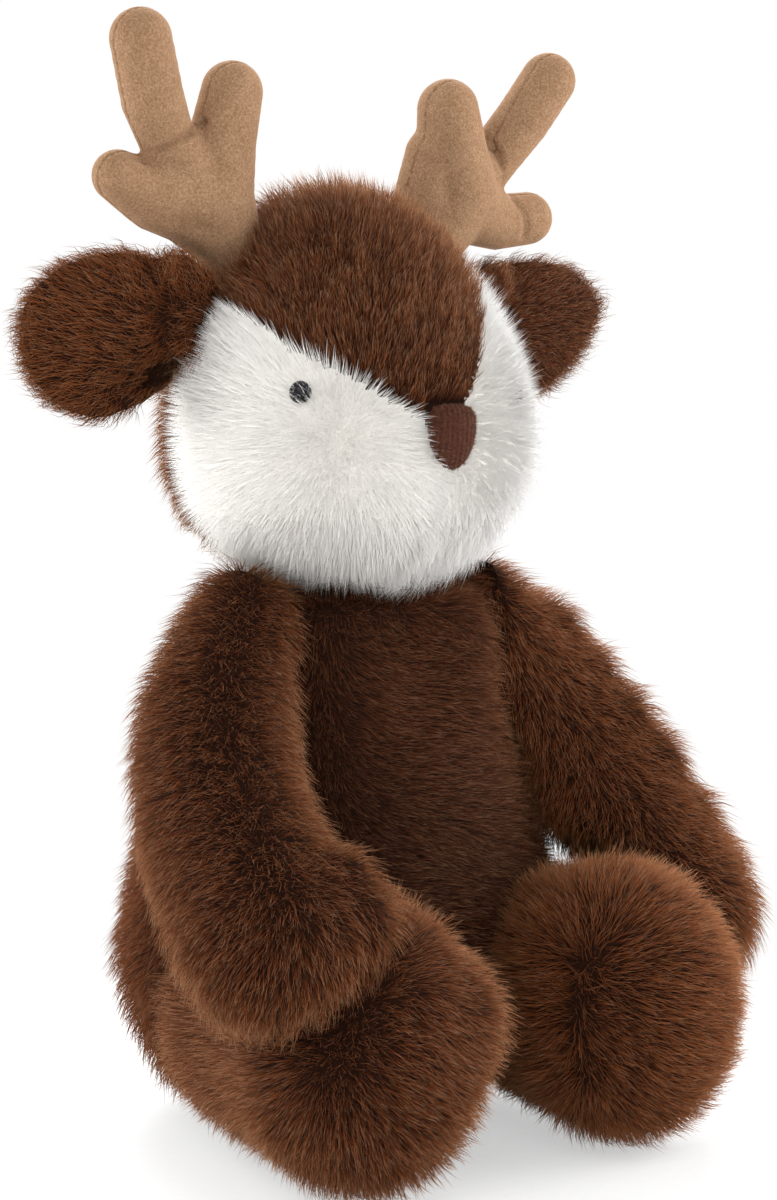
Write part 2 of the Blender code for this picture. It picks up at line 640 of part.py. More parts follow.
def build_tail(shop):
    """A flat scut, brown above and white below, pinched where it is sewn on."""
    root = Vector((0, TAIL_ROOT_Y, TAIL_ROOT_Z))
    wagged = swung(body_form(-GAP), root, Vector((1, 0, 0)), -TAIL_WAG_ANGLE)
    cutters = (shop.tool("tail_seam_clearance", body_form(-PINCHED_GAP)),
               shop.tool("tail_wag_clearance", wagged))
    reach = Vector((0, math.cos(TAIL_RISE_ANGLE), math.sin(TAIL_RISE_ANGLE)))
    over = Vector((0, -math.sin(TAIL_RISE_ANGLE), math.cos(TAIL_RISE_ANGLE)))
    points = ((root, TAIL_ROOT_RADIUS), (root + reach * TAIL_LENGTH / 2, TAIL_MIDDLE_RADIUS),
              (root + reach * TAIL_LENGTH, TAIL_TIP_RADIUS))
    for name, way, look_name, look in (("tail_upper_panel", -1, "brown_fur", FUR_BROWN),
                                       ("tail_lower_panel", 1, "white_fur", FUR_WHITE)):
        panel = tube_form(points, 0, TINE_SIDES, TAIL_HEIGHT_SHARE)
        panel = keep_below(panel, root - over * way * GAP / 2, over * way)
        shop.piece(name, panel, look_name, look, cutters, root)


def main():
    clear_scene()
    shop = Workshop()
    head_cutter = shop.tool("head_clearance", head_form(-GAP))
    body_cutter = shop.tool("body_clearance", body_form(-GAP))
    build_body(shop, head_cutter)
    build_head(shop, head_cutter)
    build_ears(shop)
    build_antlers(shop, head_cutter)
    build_arms(shop, body_cutter, head_cutter)
    build_legs(shop, body_cutter)
    build_tail(shop)


main()
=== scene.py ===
"""A seated plush deer with long brown and white pile, velvet antlers, bead eyes and a ribbed nose.

Everything is in metres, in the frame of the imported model: the toy faces -Y, +X is its own left,
and it sits on Z = 0.
"""

import json
import logging
import math
from abc import ABC, abstractmethod
from dataclasses import dataclass, field, replace
from enum import Enum
from typing import Callable

import bmesh
import bpy
import numpy as np
from mathutils import Matrix, Vector
from mathutils.bvhtree import BVHTree
from mathutils.kdtree import KDTree

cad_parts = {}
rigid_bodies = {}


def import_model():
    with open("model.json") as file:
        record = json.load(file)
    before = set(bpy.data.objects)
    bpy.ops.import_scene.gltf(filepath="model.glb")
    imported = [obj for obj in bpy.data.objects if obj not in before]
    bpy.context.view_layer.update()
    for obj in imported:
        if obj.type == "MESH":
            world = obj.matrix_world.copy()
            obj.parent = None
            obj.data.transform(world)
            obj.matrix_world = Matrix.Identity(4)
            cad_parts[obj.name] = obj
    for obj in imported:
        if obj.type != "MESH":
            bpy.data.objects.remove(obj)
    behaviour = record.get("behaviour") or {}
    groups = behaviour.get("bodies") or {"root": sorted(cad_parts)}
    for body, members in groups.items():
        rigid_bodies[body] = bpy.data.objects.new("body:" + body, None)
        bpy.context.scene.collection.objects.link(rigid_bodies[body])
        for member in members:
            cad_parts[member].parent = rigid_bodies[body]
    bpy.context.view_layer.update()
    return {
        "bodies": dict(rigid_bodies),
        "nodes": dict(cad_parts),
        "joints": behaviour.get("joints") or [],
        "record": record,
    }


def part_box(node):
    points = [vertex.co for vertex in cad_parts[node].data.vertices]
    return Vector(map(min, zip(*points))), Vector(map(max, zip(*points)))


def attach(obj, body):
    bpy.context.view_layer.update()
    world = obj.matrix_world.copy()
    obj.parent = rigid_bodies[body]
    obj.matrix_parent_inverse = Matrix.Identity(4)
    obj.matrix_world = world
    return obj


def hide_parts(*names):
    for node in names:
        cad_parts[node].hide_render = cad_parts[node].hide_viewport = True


LOG = logging.getLogger("plush_deer")
MM = 0.001
BAKE_MAP = "OFBake"
TONE_COLUMNS = 96
TINT_SHARE = 0.75
PILE_FLOOR = 0.3 * MM
PILE_FROM = 2 * MM
FACE_PILE = 8.4 * MM
ROOT_DEPTH = 0.6 * MM
SHEEN_ROUGHNESS = 0.45
RootField = Callable[[np.ndarray], np.ndarray]
Place = tuple[float, float, float]
Balls = tuple[tuple[Place, float], ...]


class Side(Enum):
    """Which side of the toy, as the toy itself has it."""

    RIGHT = -1
    LEFT = 1

    @property
    def label(self) -> str:
        """The side's word in node and piece names."""
        return self.name.lower()


# ---------------------------------------------------------------- materials


def linear(hex_colour: str) -> tuple[float, float, float, float]:
    """Turn an sRGB hex colour into linear light.

    Args:
        hex_colour: Six hex digits after a hash.

    Returns:
        Red, green, blue and alpha.
    """
    parts = [int(hex_colour[index:index + 2], 16) / 255 for index in (1, 3, 5)]
    lit = [part / 12.92 if part <= 0.04045 else ((part + 0.055) / 1.055) ** 2.4 for part in parts]
    return (*lit, 1.0)


def add_node(tree: bpy.types.NodeTree, kind: str, values: dict | None = None,
             links: dict | None = None, **settings: object) -> bpy.types.Node:
    """Add one shader node with its settings, input values and incoming links.

    Args:
        tree: The node tree it goes into.
        kind: Blender's type name of the node.
        values: Input name or number to its value.
        links: Input name or number to the socket that feeds it.
        settings: Properties of the node itself.

    Returns:
        The new node.
    """
    node = tree.nodes.new(kind)
    for key, value in settings.items():
        setattr(node, key, value)
    for key, value in (values or {}).items():
        node.inputs[key].default_value = value
    for key, socket in (links or {}).items():
        tree.links.new(socket, node.inputs[key])
    return node


def ramp(tree: bpy.types.NodeTree, factor: bpy.types.NodeSocket,
         stops: tuple[tuple[float, str], ...]) -> bpy.types.NodeSocket:
    """Colour a factor by hex stops.

    Args:
        tree: The node tree.
        factor: The socket that drives the ramp.
        stops: Positions and sRGB hex colours.

    Returns:
        The ramp's colour socket.
    """
    node = add_node(tree, "ShaderNodeValToRGB", links={"Fac": factor})
    elements = node.color_ramp.elements
    while len(elements) < len(stops):
        elements.new(0.5)
    for element, (position, hex_colour) in zip(elements, stops):
        element.position = position
        element.color = linear(hex_colour)
    return node.outputs["Color"]


def noise(tree: bpy.types.NodeTree, grain: float, detail: float, **values: float) -> bpy.types.NodeSocket:
    """Noise that lies fixed in the piece.

    Args:
        tree: The node tree.
        grain: The size of its grain, in metres.
        detail: How fine it goes on.
        values: More input values.

    Returns:
        The noise's factor.
    """
    place = add_node(tree, "ShaderNodeTexCoord")
    return add_node(tree, "ShaderNodeTexNoise", {"Scale": 1 / grain, "Detail": detail, **values},
                    {"Vector": place.outputs["Object"]}).outputs["Fac"]


def nap_bump(tree: bpy.types.NodeTree, height: bpy.types.NodeSocket, strength: float,
             depth: float) -> bpy.types.NodeSocket:
    """Turn a height into a fine relief.

    Args:
        tree: The node tree.
        height: The socket with the height.
        strength: How strong it is.
        depth: How deep it is, in metres.

    Returns:
        The normal.
    """
    return add_node(tree, "ShaderNodeBump", {"Strength": strength, "Distance": depth},
                    {"Height": height}).outputs["Normal"]


def new_material(name: str, values: dict) -> tuple[bpy.types.Material, dict]:
    """Start a material.

    Args:
        name: Its name, for the real material and how it was made.
        values: Input name to value of its Principled shader.

    Returns:
        The material and its shader's inputs.
    """
    material = bpy.data.materials.new(name)
    material.use_nodes = True
    inputs = material.node_tree.nodes["Principled BSDF"].inputs
    for key, value in values.items():
        inputs[key].default_value = value
    return material, inputs


def seen_directly(tree: bpy.types.NodeTree) -> bpy.types.NodeSocket:
    """Tell the rays that show a thing from those that only light it.

    Args:
        tree: The node tree.

    Returns:
        1 for camera, glossy and transmission rays, or else 0.
    """
    path = add_node(tree, "ShaderNodeLightPath")
    total = path.outputs["Is Camera Ray"]
    for kind in ("Is Glossy Ray", "Is Transmission Ray"):
        total = add_node(tree, "ShaderNodeMath", links={0: total, 1: path.outputs[kind]},
                         operation="MAXIMUM").outputs[0]
    return total


@dataclass(frozen=True)
class PileFinish:
    """Acrylic pile: silky fibres, darker at the root, with tones that differ from lock to lock. The dark root
    is partly the fibre's colour and partly painted shade deep in the pile; the light tip is partly its colour
    and partly a painted highlight where light catches the rim.
    """

    name: str
    root: str
    tones: tuple[tuple[float, str], ...]
    # tip and its weight: partly the fibre's own colour, partly a painted highlight on the fibres' ends
    tip: str
    tip_weight: float = 0.6
    tip_from: float = 0.55
    roughness: float = 0.72
    shine: float = 0.12
    sheen: float = 0.0
    sheen_tint: str = "#ffffff"

    def make(self) -> bpy.types.Material:
        """Build the material. Across the map lie the tones, and up it the fibre's length."""
        material, inputs = new_material(self.name, {
            "Roughness": self.roughness, "Specular IOR Level": self.shine, "Sheen Weight": self.sheen,
            "Sheen Roughness": SHEEN_ROUGHNESS, "Sheen Tint": linear(self.sheen_tint)})
        tree = material.node_tree
        atlas = add_node(tree, "ShaderNodeUVMap", uv_map=BAKE_MAP)
        split = add_node(tree, "ShaderNodeSeparateXYZ", links={0: atlas.outputs["UV"]})
        tone = ramp(tree, split.outputs["X"], self.tones)
        rise = add_node(tree, "ShaderNodeMapRange", {1: 0.05, 2: 0.7}, {0: split.outputs["Y"]},
                        interpolation_type="SMOOTHSTEP")
        # Root to tip: the dark root stands partly for painted shade deep in the pile
        stem = add_node(tree, "ShaderNodeMix", {6: linear(self.root)}, {0: rise.outputs[0], 7: tone},
                        data_type="RGBA")
        # The light tip is partly a painted highlight, where rim light catches the fibres' ends
        end = add_node(tree, "ShaderNodeMapRange", {1: self.tip_from, 2: 1.0, 4: self.tip_weight},
                       {0: split.outputs["Y"]})
        shade = add_node(tree, "ShaderNodeMix", {7: linear(self.tip)},
                         {0: end.outputs[0], 6: stem.outputs[2]}, data_type="RGBA")
        tree.links.new(shade.outputs[2], inputs["Base Color"])
        return material


@dataclass(frozen=True)
class BackingFinish:
    """The knitted back under the pile, with the short dense underfur that hides it."""

    name: str
    low: str
    high: str
    grain: float = 0.9 * MM

    def make(self) -> bpy.types.Material:
        """Build the material."""
        material, inputs = new_material(self.name, {"Roughness": 0.95, "Specular IOR Level": 0.1})
        tree = material.node_tree
        grain = noise(tree, self.grain, 3.0)
        tree.links.new(ramp(tree, grain, ((0.35, self.low), (0.65, self.high))), inputs["Base Color"])
        tree.links.new(nap_bump(tree, grain, 0.6, 0.5 * MM), inputs["Normal"])
        return material


@dataclass(frozen=True)
class VelvetFinish:
    """Short warp-knit velvet: a soft nap that catches light in small brushed patches."""

    name: str
    low: str
    middle: str
    high: str
    nap: float = 0.6 * MM
    patch: float = 7.0 * MM
    patch_share: float = 0.14

    def make(self) -> bpy.types.Material:
        """Build the material."""
        material, inputs = new_material(self.name, {
            "Roughness": 0.9, "Specular IOR Level": 0.15, "Sheen Weight": 0.6,
            "Sheen Roughness": SHEEN_ROUGHNESS, "Sheen Tint": linear(self.high)})
        tree = material.node_tree
        nap = noise(tree, self.nap, 4.0, Roughness=0.65)
        patch = noise(tree, self.patch, 3.0, Distortion=0.6)
        blend = add_node(tree, "ShaderNodeMix", {0: self.patch_share}, {2: nap, 3: patch},
                         data_type="FLOAT").outputs[0]
        tree.links.new(ramp(tree, blend, ((0.36, self.low), (0.5, self.middle), (0.64, self.high))),
                       inputs["Base Color"])
        tree.links.new(nap_bump(tree, nap, 0.5, 0.25 * MM), inputs["Normal"])
        return material


@dataclass(frozen=True)
class BeadFinish:
    """Moulded and polished acrylic: near black, with a sharp clear highlight."""

    name: str
    colour: str
    cloud: str

    def make(self) -> bpy.types.Material:
        """Build the material."""
        material, inputs = new_material(self.name, {"Roughness": 0.06, "IOR": 1.49,
                                                    "Specular IOR Level": 0.25})
        tree = material.node_tree
        tree.links.new(ramp(tree, noise(tree, 2.5 * MM, 2.0), ((0.3, self.colour), (0.7, self.cloud))),
                       inputs["Base Color"])
        return material


BROWN_TONES = ((0.0, "#371808"), (0.35, "#4b220a"), (0.7, "#5c2b0e"), (1.0, "#7a421f"))
WHITE_TONES = ((0.0, "#f3f0ea"), (0.4, "#f8f5f1"), (1.0, "#fcfaf7"))
NOSE_TONES = ((0.0, "#1e110b"), (0.5, "#503226"), (1.0, "#815c4b"))
BROWN_PILE = PileFinish("acrylic_pile_brown", "#120601", BROWN_TONES, "#c29672", tip_weight=0.78,
                         tip_from=0.68, shine=0.08, sheen=0.42, sheen_tint="#cf9768")
# Painted shade: a darker copy of the brown pile for the body, with weaker light tips and less sheen, so the
# chest and belly read as in shade
BODY_PILE_SHADED = replace(BROWN_PILE, name="acrylic_pile_brown_body", tip_weight=0.42, sheen=0.17)
WHITE_PILE = PileFinish("acrylic_pile_white", "#f5f1ea", WHITE_TONES, "#fefdfb", shine=0.04, sheen=0.2)
NOSE_PILE = PileFinish("cut_pile_nose", "#26140d", NOSE_TONES, "#7c5545", tip_weight=0.4)
BROWN_BACKING = BackingFinish("knitted_back_brown", "#1c0d06", "#2b150b")
WHITE_BACKING = BackingFinish("knitted_back_white", "#e2ddd5", "#eeeae4")
NOSE_BACKING = BackingFinish("knitted_back_nose", "#351d15", "#4c2c20")
ANTLER_VELVET = VelvetFinish("warp_knit_velvet_tan", "#73553d", "#88694e", "#9c7d63")
EYE_BEAD = BeadFinish("polished_acrylic_black", "#07070a", "#14151a")


# ---------------------------------------------------------------- modelling helpers


def deselect() -> None:
    """Leave nothing selected, so that an operator acts only on its own piece."""
    bpy.ops.object.select_all(action="DESELECT")


def take(piece: bpy.types.Object) -> None:
    """Select one piece and make it active.

    Args:
        piece: The piece.
    """
    deselect()
    piece.select_set(True)
    bpy.context.view_layer.objects.active = piece


def smooth(piece: bpy.types.Object, turns: int) -> None:
    """Relax a piece's surface.

    Args:
        piece: The piece.
        turns: How often.
    """
    apply_modifier(piece, "SMOOTH", factor=0.5, iterations=turns)


def apply_modifier(piece: bpy.types.Object, kind: str, **settings: object) -> None:
    """Add one modifier to a piece and apply it.

    Args:
        piece: The piece.
        kind: Blender's type name of the modifier.
        settings: Its properties.
    """
    take(piece)
    made = piece.modifiers.new(kind.lower(), kind)
    for key, value in settings.items():
        setattr(made, key, value)
    bpy.ops.object.modifier_apply(modifier=made.name)


def keep_largest_island(piece: bpy.types.Object) -> None:
    """Drop the small inner shells that a remesh can leave.

    Args:
        piece: The piece.
    """
    shell = bmesh.new()
    shell.from_mesh(piece.data)
    left = set(shell.verts)
    islands = []
    while left:
        start = left.pop()
        island, front = [start], [start]
        while front:
            vert = front.pop()
            for edge in vert.link_edges:
                other = edge.other_vert(vert)
                if other in left:
                    left.discard(other)
                    island.append(other)
                    front.append(other)
        islands.append(island)
    islands.sort(key=len)
    loose = [vert for island in islands[:-1] for vert in island]
    bmesh.ops.delete(shell, geom=loose, context="VERTS")
    shell.to_mesh(piece.data)
    shell.free()


def add_balls(piece: bpy.types.Object, balls: Balls) -> None:
    """Join balls of stuffing to a piece.

    Args:
        piece: The piece.
        balls: Each ball's middle and radius.
    """
    made = []
    for middle, radius in balls:
        deselect()
        bpy.ops.mesh.primitive_ico_sphere_add(subdivisions=3, radius=radius, location=middle)
        bpy.ops.object.transform_apply(location=True, rotation=False, scale=False)
        made.append(bpy.context.active_object)
    if made:
        take(piece)
        for ball in made:
            ball.select_set(True)
        bpy.ops.object.join()


@dataclass(frozen=True)
class Crease:
    """A fold that draws the cloth in along a line. Its places and sizes are in millimetres."""

    line: tuple[Place, ...]
    width: float
    depth: float

    def press(self, piece: bpy.types.Object) -> None:
        """Draw a piece in along the line.

        Args:
            piece: The piece.
        """
        places = np.array([vert.co[:] for vert in piece.data.vertices])
        normals = np.array([vert.normal[:] for vert in piece.data.vertices])
        nearest = np.full(len(places), 1.0)
        for start, end in zip(self.line, self.line[1:]):
            base, along = np.array(start) * MM, (np.array(end) - np.array(start)) * MM
            share = np.clip((places - base) @ along / (along @ along), 0, 1)
            nearest = np.minimum(nearest, np.linalg.norm(places - base - share[:, None] * along, axis=1))
        places -= normals * (self.depth * MM * np.exp(-(nearest / (self.width * MM)) ** 2))[:, None]
        piece.data.vertices.foreach_set("co", places.reshape(-1))
        piece.data.update()


@dataclass
class StuffedForm:
    """One stuffed part as a closed rounded form, drawn in under the pile that grows on it."""

    name: str
    nodes: tuple[str, ...]
    body: str
    voxel: float = 2.2 * MM
    inset: float = 3.0 * MM
    relax_turns: int = 8
    fill: float = 0.75
    balls: Balls = ()
    from_nodes: bool = True

    def build(self, frame: dict, finish: bpy.types.Material, slot: str) -> bpy.types.Object:
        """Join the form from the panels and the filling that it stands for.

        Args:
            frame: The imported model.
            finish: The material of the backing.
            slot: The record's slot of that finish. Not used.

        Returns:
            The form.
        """
        shell = bmesh.new()
        for node in self.nodes if self.from_nodes else ():
            shell.from_mesh(frame["nodes"][node].data)
        bmesh.ops.remove_doubles(shell, verts=shell.verts[:], dist=0.001 * MM)
        mesh = bpy.data.meshes.new(self.name)
        shell.to_mesh(mesh)
        shell.free()
        piece = bpy.data.objects.new(self.name, mesh)
        bpy.context.scene.collection.objects.link(piece)
        add_balls(piece, self.balls)
        apply_modifier(piece, "REMESH", mode="VOXEL", voxel_size=self.voxel)
        keep_largest_island(piece)
        smooth(piece, self.relax_turns)
        if self.inset:
            apply_modifier(piece, "DISPLACE", strength=-self.inset, mid_level=0.0)
            smooth(piece, 4)
        take(piece)
        bpy.ops.object.shade_smooth()
        piece.data.materials.append(finish)
        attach(piece, self.body)
        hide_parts(*self.nodes)
        LOG.info("form %s: %d faces", self.name, len(piece.data.polygons))
        return piece


def surface_of(piece: bpy.types.Object) -> tuple[np.ndarray, np.ndarray, np.ndarray]:
    """Read a form as triangles.

    Args:
        piece: The form.

    Returns:
        Vertex places, vertex normals, and the triangles' vertex numbers.
    """
    mesh = piece.data
    mesh.calc_loop_triangles()
    places = np.empty(len(mesh.vertices) * 3)
    normals = np.empty(len(mesh.vertices) * 3)
    corners = np.empty(len(mesh.loop_triangles) * 3, np.int32)
    mesh.vertices.foreach_get("co", places)
    mesh.vertices.foreach_get("normal", normals)
    mesh.loop_triangles.foreach_get("vertices", corners)
    return places.reshape(-1, 3), normals.reshape(-1, 3), corners.reshape(-1, 3)


def unit(vectors: np.ndarray) -> np.ndarray:
    """Scale rows to length one.

    Args:
        vectors: Rows of vectors.

    Returns:
        The scaled rows.
    """
    return vectors / np.maximum(np.linalg.norm(vectors, axis=1, keepdims=True), 1e-9)


def smooth_step(low: float, high: float, values: np.ndarray) -> np.ndarray:
    """Ease from 0 at the low value to 1 at the high one.

    Args:
        low: Where it starts.
        high: Where it ends.
        values: What is eased.

    Returns:
        The eased values.
    """
    share = np.clip((values - low) / (high - low), 0, 1)
    return share * share * (3 - 2 * share)


def wander(places: np.ndarray, scale: float, seed: int) -> np.ndarray:
    """A smooth vector that drifts over space, for the way pile lies unevenly.

    Args:
        places: Where it is read.
        scale: The size of its swirls, in metres.
        seed: Which drift.

    Returns:
        One vector for each place, mostly within -1 to 1.
    """
    dice = np.random.default_rng(seed)
    total = np.zeros_like(places)
    for octave in range(4):
        waves = dice.normal(size=(3, 3)) / scale * (1.0 + 0.8 * octave) * 2.2
        total += np.sin(places @ waves + dice.uniform(0, math.tau, 3)) / (1 + 0.5 * octave)
    return total / 2


@dataclass(frozen=True)
class Layer:
    """One layer of a pile: how thick, how long and how steep its fibres are."""

    name: str
    share: float
    width: float
    length_share: float
    root_lean: float
    tip_lean: float
    pull: float
    scatter: float
    bends: bool


GUARD = Layer("pile", 0.24, 0.22 * MM, 1.15, math.radians(34), math.radians(60), 1.0, 0.24, True)
UNDER = Layer("underpile", 0.76, 0.22 * MM, 0.78, math.radians(32), math.radians(46), 0.7, 0.34, False)

CHEEK_LAYERS = (replace(GUARD, share=0.1, width=0.18 * MM, scatter=0.15),
                replace(UNDER, share=0.9, width=0.2 * MM, length_share=0.9, scatter=0.2))


@dataclass
class Pelt:
    """Long pile as tapered fibres that lean with a flow and gather into locks.

    The flow gives the way the pile lies at each root, and a short vector lets it stand. Of the others, keep
    tells which roots grow a fibre, trim gives the share of the length, and tint the place on the ramp.
    """

    name: str
    body: str
    slot: str
    flow: RootField
    keep: RootField | None = None
    trim: RootField | None = None
    tint: RootField | None = None
    length: float = 9.0 * MM
    per_mm2: float = 1.6
    thickness: float = 1.0
    steepness: float = 1.0
    lock_spacing: float = 4.2 * MM
    lock_pull: float = 0.34
    swirl: float = 0.24
    swirl_scale: float = 26 * MM
    roundness: float = 0.42
    least_lay: float = 0.25
    layers: tuple[Layer, ...] = (GUARD, UNDER)
    seed: int = 1

    def scatter_roots(self, form: bpy.types.Object, per_mm2: float,
                      dice: np.random.Generator) -> tuple[np.ndarray, np.ndarray]:
        """Spread roots evenly over a form.

        Args:
            form: The form that the pile grows on.
            per_mm2: How many roots a square millimetre gets.
            dice: The random source.

        Returns:
            The roots' places and the normals there.
        """
        places, normals, corners = surface_of(form)
        a, b, c = (places[corners[:, index]] for index in range(3))
        areas = np.linalg.norm(np.cross(b - a, c - a), axis=1) / 2
        tries = int(areas.sum() / MM ** 2 * per_mm2) * 2
        chosen = dice.choice(len(areas), tries, p=areas / areas.sum())
        u, v = dice.random(tries), dice.random(tries)
        flip = u + v > 1
        u[flip], v[flip] = 1 - u[flip], 1 - v[flip]
        shares = np.stack((1 - u - v, u, v), axis=1)[:, :, None]
        roots = (places[corners[chosen]] * shares).sum(axis=1)
        upward = unit((normals[corners[chosen]] * shares).sum(axis=1))
        first = first_in_cells(roots, 0.86 * MM / math.sqrt(per_mm2))
        return roots[first], upward[first]

    def locks_of(self, roots: np.ndarray, dice: np.random.Generator) -> tuple[np.ndarray, np.ndarray]:
        """Give every fibre the lock that it gathers into.

        Args:
            roots: The fibres' roots.
            dice: The random source.

        Returns:
            The number of each fibre's lock, and the root number at each lock's middle.
        """
        order = dice.permutation(len(roots))
        middles = order[first_in_cells(roots[order], self.lock_spacing)]
        tree = KDTree(len(middles))
        for index, middle in enumerate(middles):
            tree.insert(roots[middle], index)
        tree.balance()
        return np.array([tree.find(root)[1] for root in roots]), middles

    def grow(self, form: bpy.types.Object, finish: bpy.types.Material) -> None:
        """Grow every layer of the pile on a form.

        Args:
            form: The form.
            finish: The pile's material.
        """
        for index, layer in enumerate(self.layers):
            self.grow_layer(layer, np.random.default_rng(self.seed * 10 + index), form, finish)

    def grow_layer(self, layer: Layer, dice: np.random.Generator, form: bpy.types.Object,
                   finish: bpy.types.Material) -> None:
        """Grow one layer.

        Args:
            layer: Which layer.
            dice: The random source.
            form: The form.
            finish: The pile's material.
        """
        roots, upward = self.scatter_roots(form, self.per_mm2 * layer.share, dice)
        if self.keep is not None:
            held = self.keep(roots)
            roots, upward = roots[held], upward[held]
        count = len(roots)
        lock, middles = self.locks_of(roots, dice)
        lay = self.flow(roots)
        strength = np.clip(np.linalg.norm(lay, axis=1, keepdims=True), self.least_lay, 1)
        lay = unit(lay) * strength + self.swirl * wander(roots, self.swirl_scale, self.seed)
        lay += dice.normal(scale=layer.scatter, size=(count, 3))
        lay -= upward * (lay * upward).sum(axis=1, keepdims=True)
        lay = unit(lay)
        lengths = self.length * layer.length_share * dice.uniform(0.7, 1.2, count)
        if self.trim is not None:
            lengths *= self.trim(roots)
        lengths = lengths[:, None]
        lean = dice.normal(scale=0.12, size=(count, 1))
        lean += 0.14 * wander(roots, 12 * MM, self.seed + 11)[:, :1]
        starts = roots - upward * ROOT_DEPTH
        low = layer.root_lean * strength / self.steepness + lean
        high = layer.tip_lean * strength / self.steepness + lean
        middle = starts + (upward * np.cos(low) + lay * np.sin(low)) * lengths * 0.5
        tips = middle + (upward * np.cos(high) + lay * np.sin(high)) * lengths * 0.5
        pull = self.lock_pull * layer.pull * dice.uniform(0.5, 1.3, (count, 1))
        tips += (tips[middles][lock] - tips) * pull
        middle += (middle[middles][lock] - middle) * pull * 0.35
        lines = (starts, middle, tips) if layer.bends else (starts, tips)
        lock_tone = dice.random(int(lock.max()) + 1)[lock]
        tone = 0.5 * lock_tone + 0.5 * dice.random(count)
        if self.tint is not None:
            tone = (1 - TINT_SHARE) * tone + TINT_SHARE * self.tint(roots)
        self.weave(layer, lines, upward, np.clip(tone, 0, 0.999), finish, dice)

    def weave(self, layer: Layer, lines: tuple[np.ndarray, ...], upward: np.ndarray, tone: np.ndarray,
              finish: bpy.types.Material, dice: np.random.Generator) -> None:
        """Turn the fibres' lines into one mesh of closed fibres.

        Args:
            layer: Which layer it is.
            lines: The places along the fibres, root first and tip last.
            upward: The form's normals at the roots.
            tone: Each fibre's place on the ramp of tones.
            finish: The pile's material.
            dice: The random source.
        """
        count, tips = len(upward), lines[-1]
        for line in lines:
            line[:, 2] = np.maximum(line[:, 2], PILE_FLOOR)
        rings, round_normals = [], []
        turn = dice.uniform(0, math.tau, count)[:, None]
        heading = unit(tips - lines[0])
        across = unit(np.cross(heading, upward) + 1e-6)
        over = np.cross(heading, across)
        for place, share in zip(lines[:-1], (1.0, 0.8)):
            for corner in range(3):
                angle = turn + math.tau * corner / 3
                away = across * np.cos(angle) + over * np.sin(angle)
                rings.append(place + away * layer.width * self.thickness / 2 * share)
                round_normals.append(away)
        verts = np.stack([*rings, tips], axis=1).reshape(-1, 3)
        soft = [unit((1 - self.roundness) * upward + self.roundness * away) for away in round_normals]
        vert_normals = np.stack([*soft, upward], axis=1).reshape(-1, 3)
        faces, columns, rows = fibre_faces(len(lines) - 1)
        corners = (np.arange(count)[:, None, None] * len(soft) + np.arange(count)[:, None, None]
                   + faces[None]).reshape(-1)
        column = np.floor(tone * TONE_COLUMNS)[:, None, None]
        across_map = ((column + columns[None]) / TONE_COLUMNS).reshape(-1)
        up_map = np.broadcast_to(rows[None], (count, *rows.shape)).reshape(-1)
        mesh = bpy.data.meshes.new(f"{self.name}_{layer.name}")
        total = count * len(faces)
        mesh.vertices.add(len(verts))
        mesh.vertices.foreach_set("co", verts.astype(np.float32).reshape(-1))
        mesh.loops.add(total * 3)
        mesh.loops.foreach_set("vertex_index", corners.astype(np.int32))
        mesh.polygons.add(total)
        mesh.polygons.foreach_set("loop_start", np.arange(0, total * 3, 3, dtype=np.int32))
        mesh.update(calc_edges=True)
        mesh.polygons.foreach_set("use_smooth", np.ones(total, bool))
        atlas = mesh.uv_layers.new(name=BAKE_MAP)
        atlas.uv.foreach_set("vector", np.stack((across_map, up_map), axis=1).astype(np.float32).reshape(-1))
        mesh.normals_split_custom_set_from_vertices(vert_normals.astype(np.float32))
        mesh.materials.append(finish)
        piece = bpy.data.objects.new(mesh.name, mesh)
        bpy.context.scene.collection.objects.link(piece)
        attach(piece, self.body)
        LOG.info("%s: %d fibres, %d triangles", mesh.name, count, total)


def first_in_cells(places: np.ndarray, size: float) -> np.ndarray:
    """Pick one place in every filled cell of a grid.

    Args:
        places: The places.
        size: The side of a cell.

    Returns:
        The numbers of the places that were picked.
    """
    cells = np.floor(places / size).astype(np.int64)
    keys = cells @ np.array([73856093, 19349663, 83492791])
    return np.unique(keys, return_index=True)[1]


def fibre_faces(stretches: int) -> tuple[np.ndarray, np.ndarray, np.ndarray]:
    """The triangles of one three-sided fibre with a closed root, and where they lie on its map.

    Args:
        stretches: How many straight stretches it has.

    Returns:
        Corner numbers, and each corner's place across and up the fibre's column of the map.
    """
    tip = 3 * stretches
    faces, columns, rows = [(0, 2, 1)], [(0.2, 0.8, 0.5)], [(0.0, 0.0, 0.03)]
    for corner in range(3):
        after = (corner + 1) % 3
        left, right = 0.1 + 0.8 * corner / 3, 0.1 + 0.8 * (corner + 1) / 3
        for ring in range(stretches - 1):
            low, high = 3 * ring, 3 * ring + 3
            base, top = 0.03 + 0.47 * ring, 0.5
            faces += [(low + corner, low + after, high + after), (low + corner, high + after, high + corner)]
            columns += [(left, right, right), (left, right, left)]
            rows += [(base, base, top), (base, top, top)]
        last = tip - 3
        start = 0.5 if stretches > 1 else 0.03
        faces.append((last + corner, last + after, tip))
        columns.append((left, right, (left + right) / 2))
        rows.append((start, start, 1.0))
    return np.array(faces), np.array(columns), np.array(rows)


# ---------------------------------------------------------------- the toy's parts


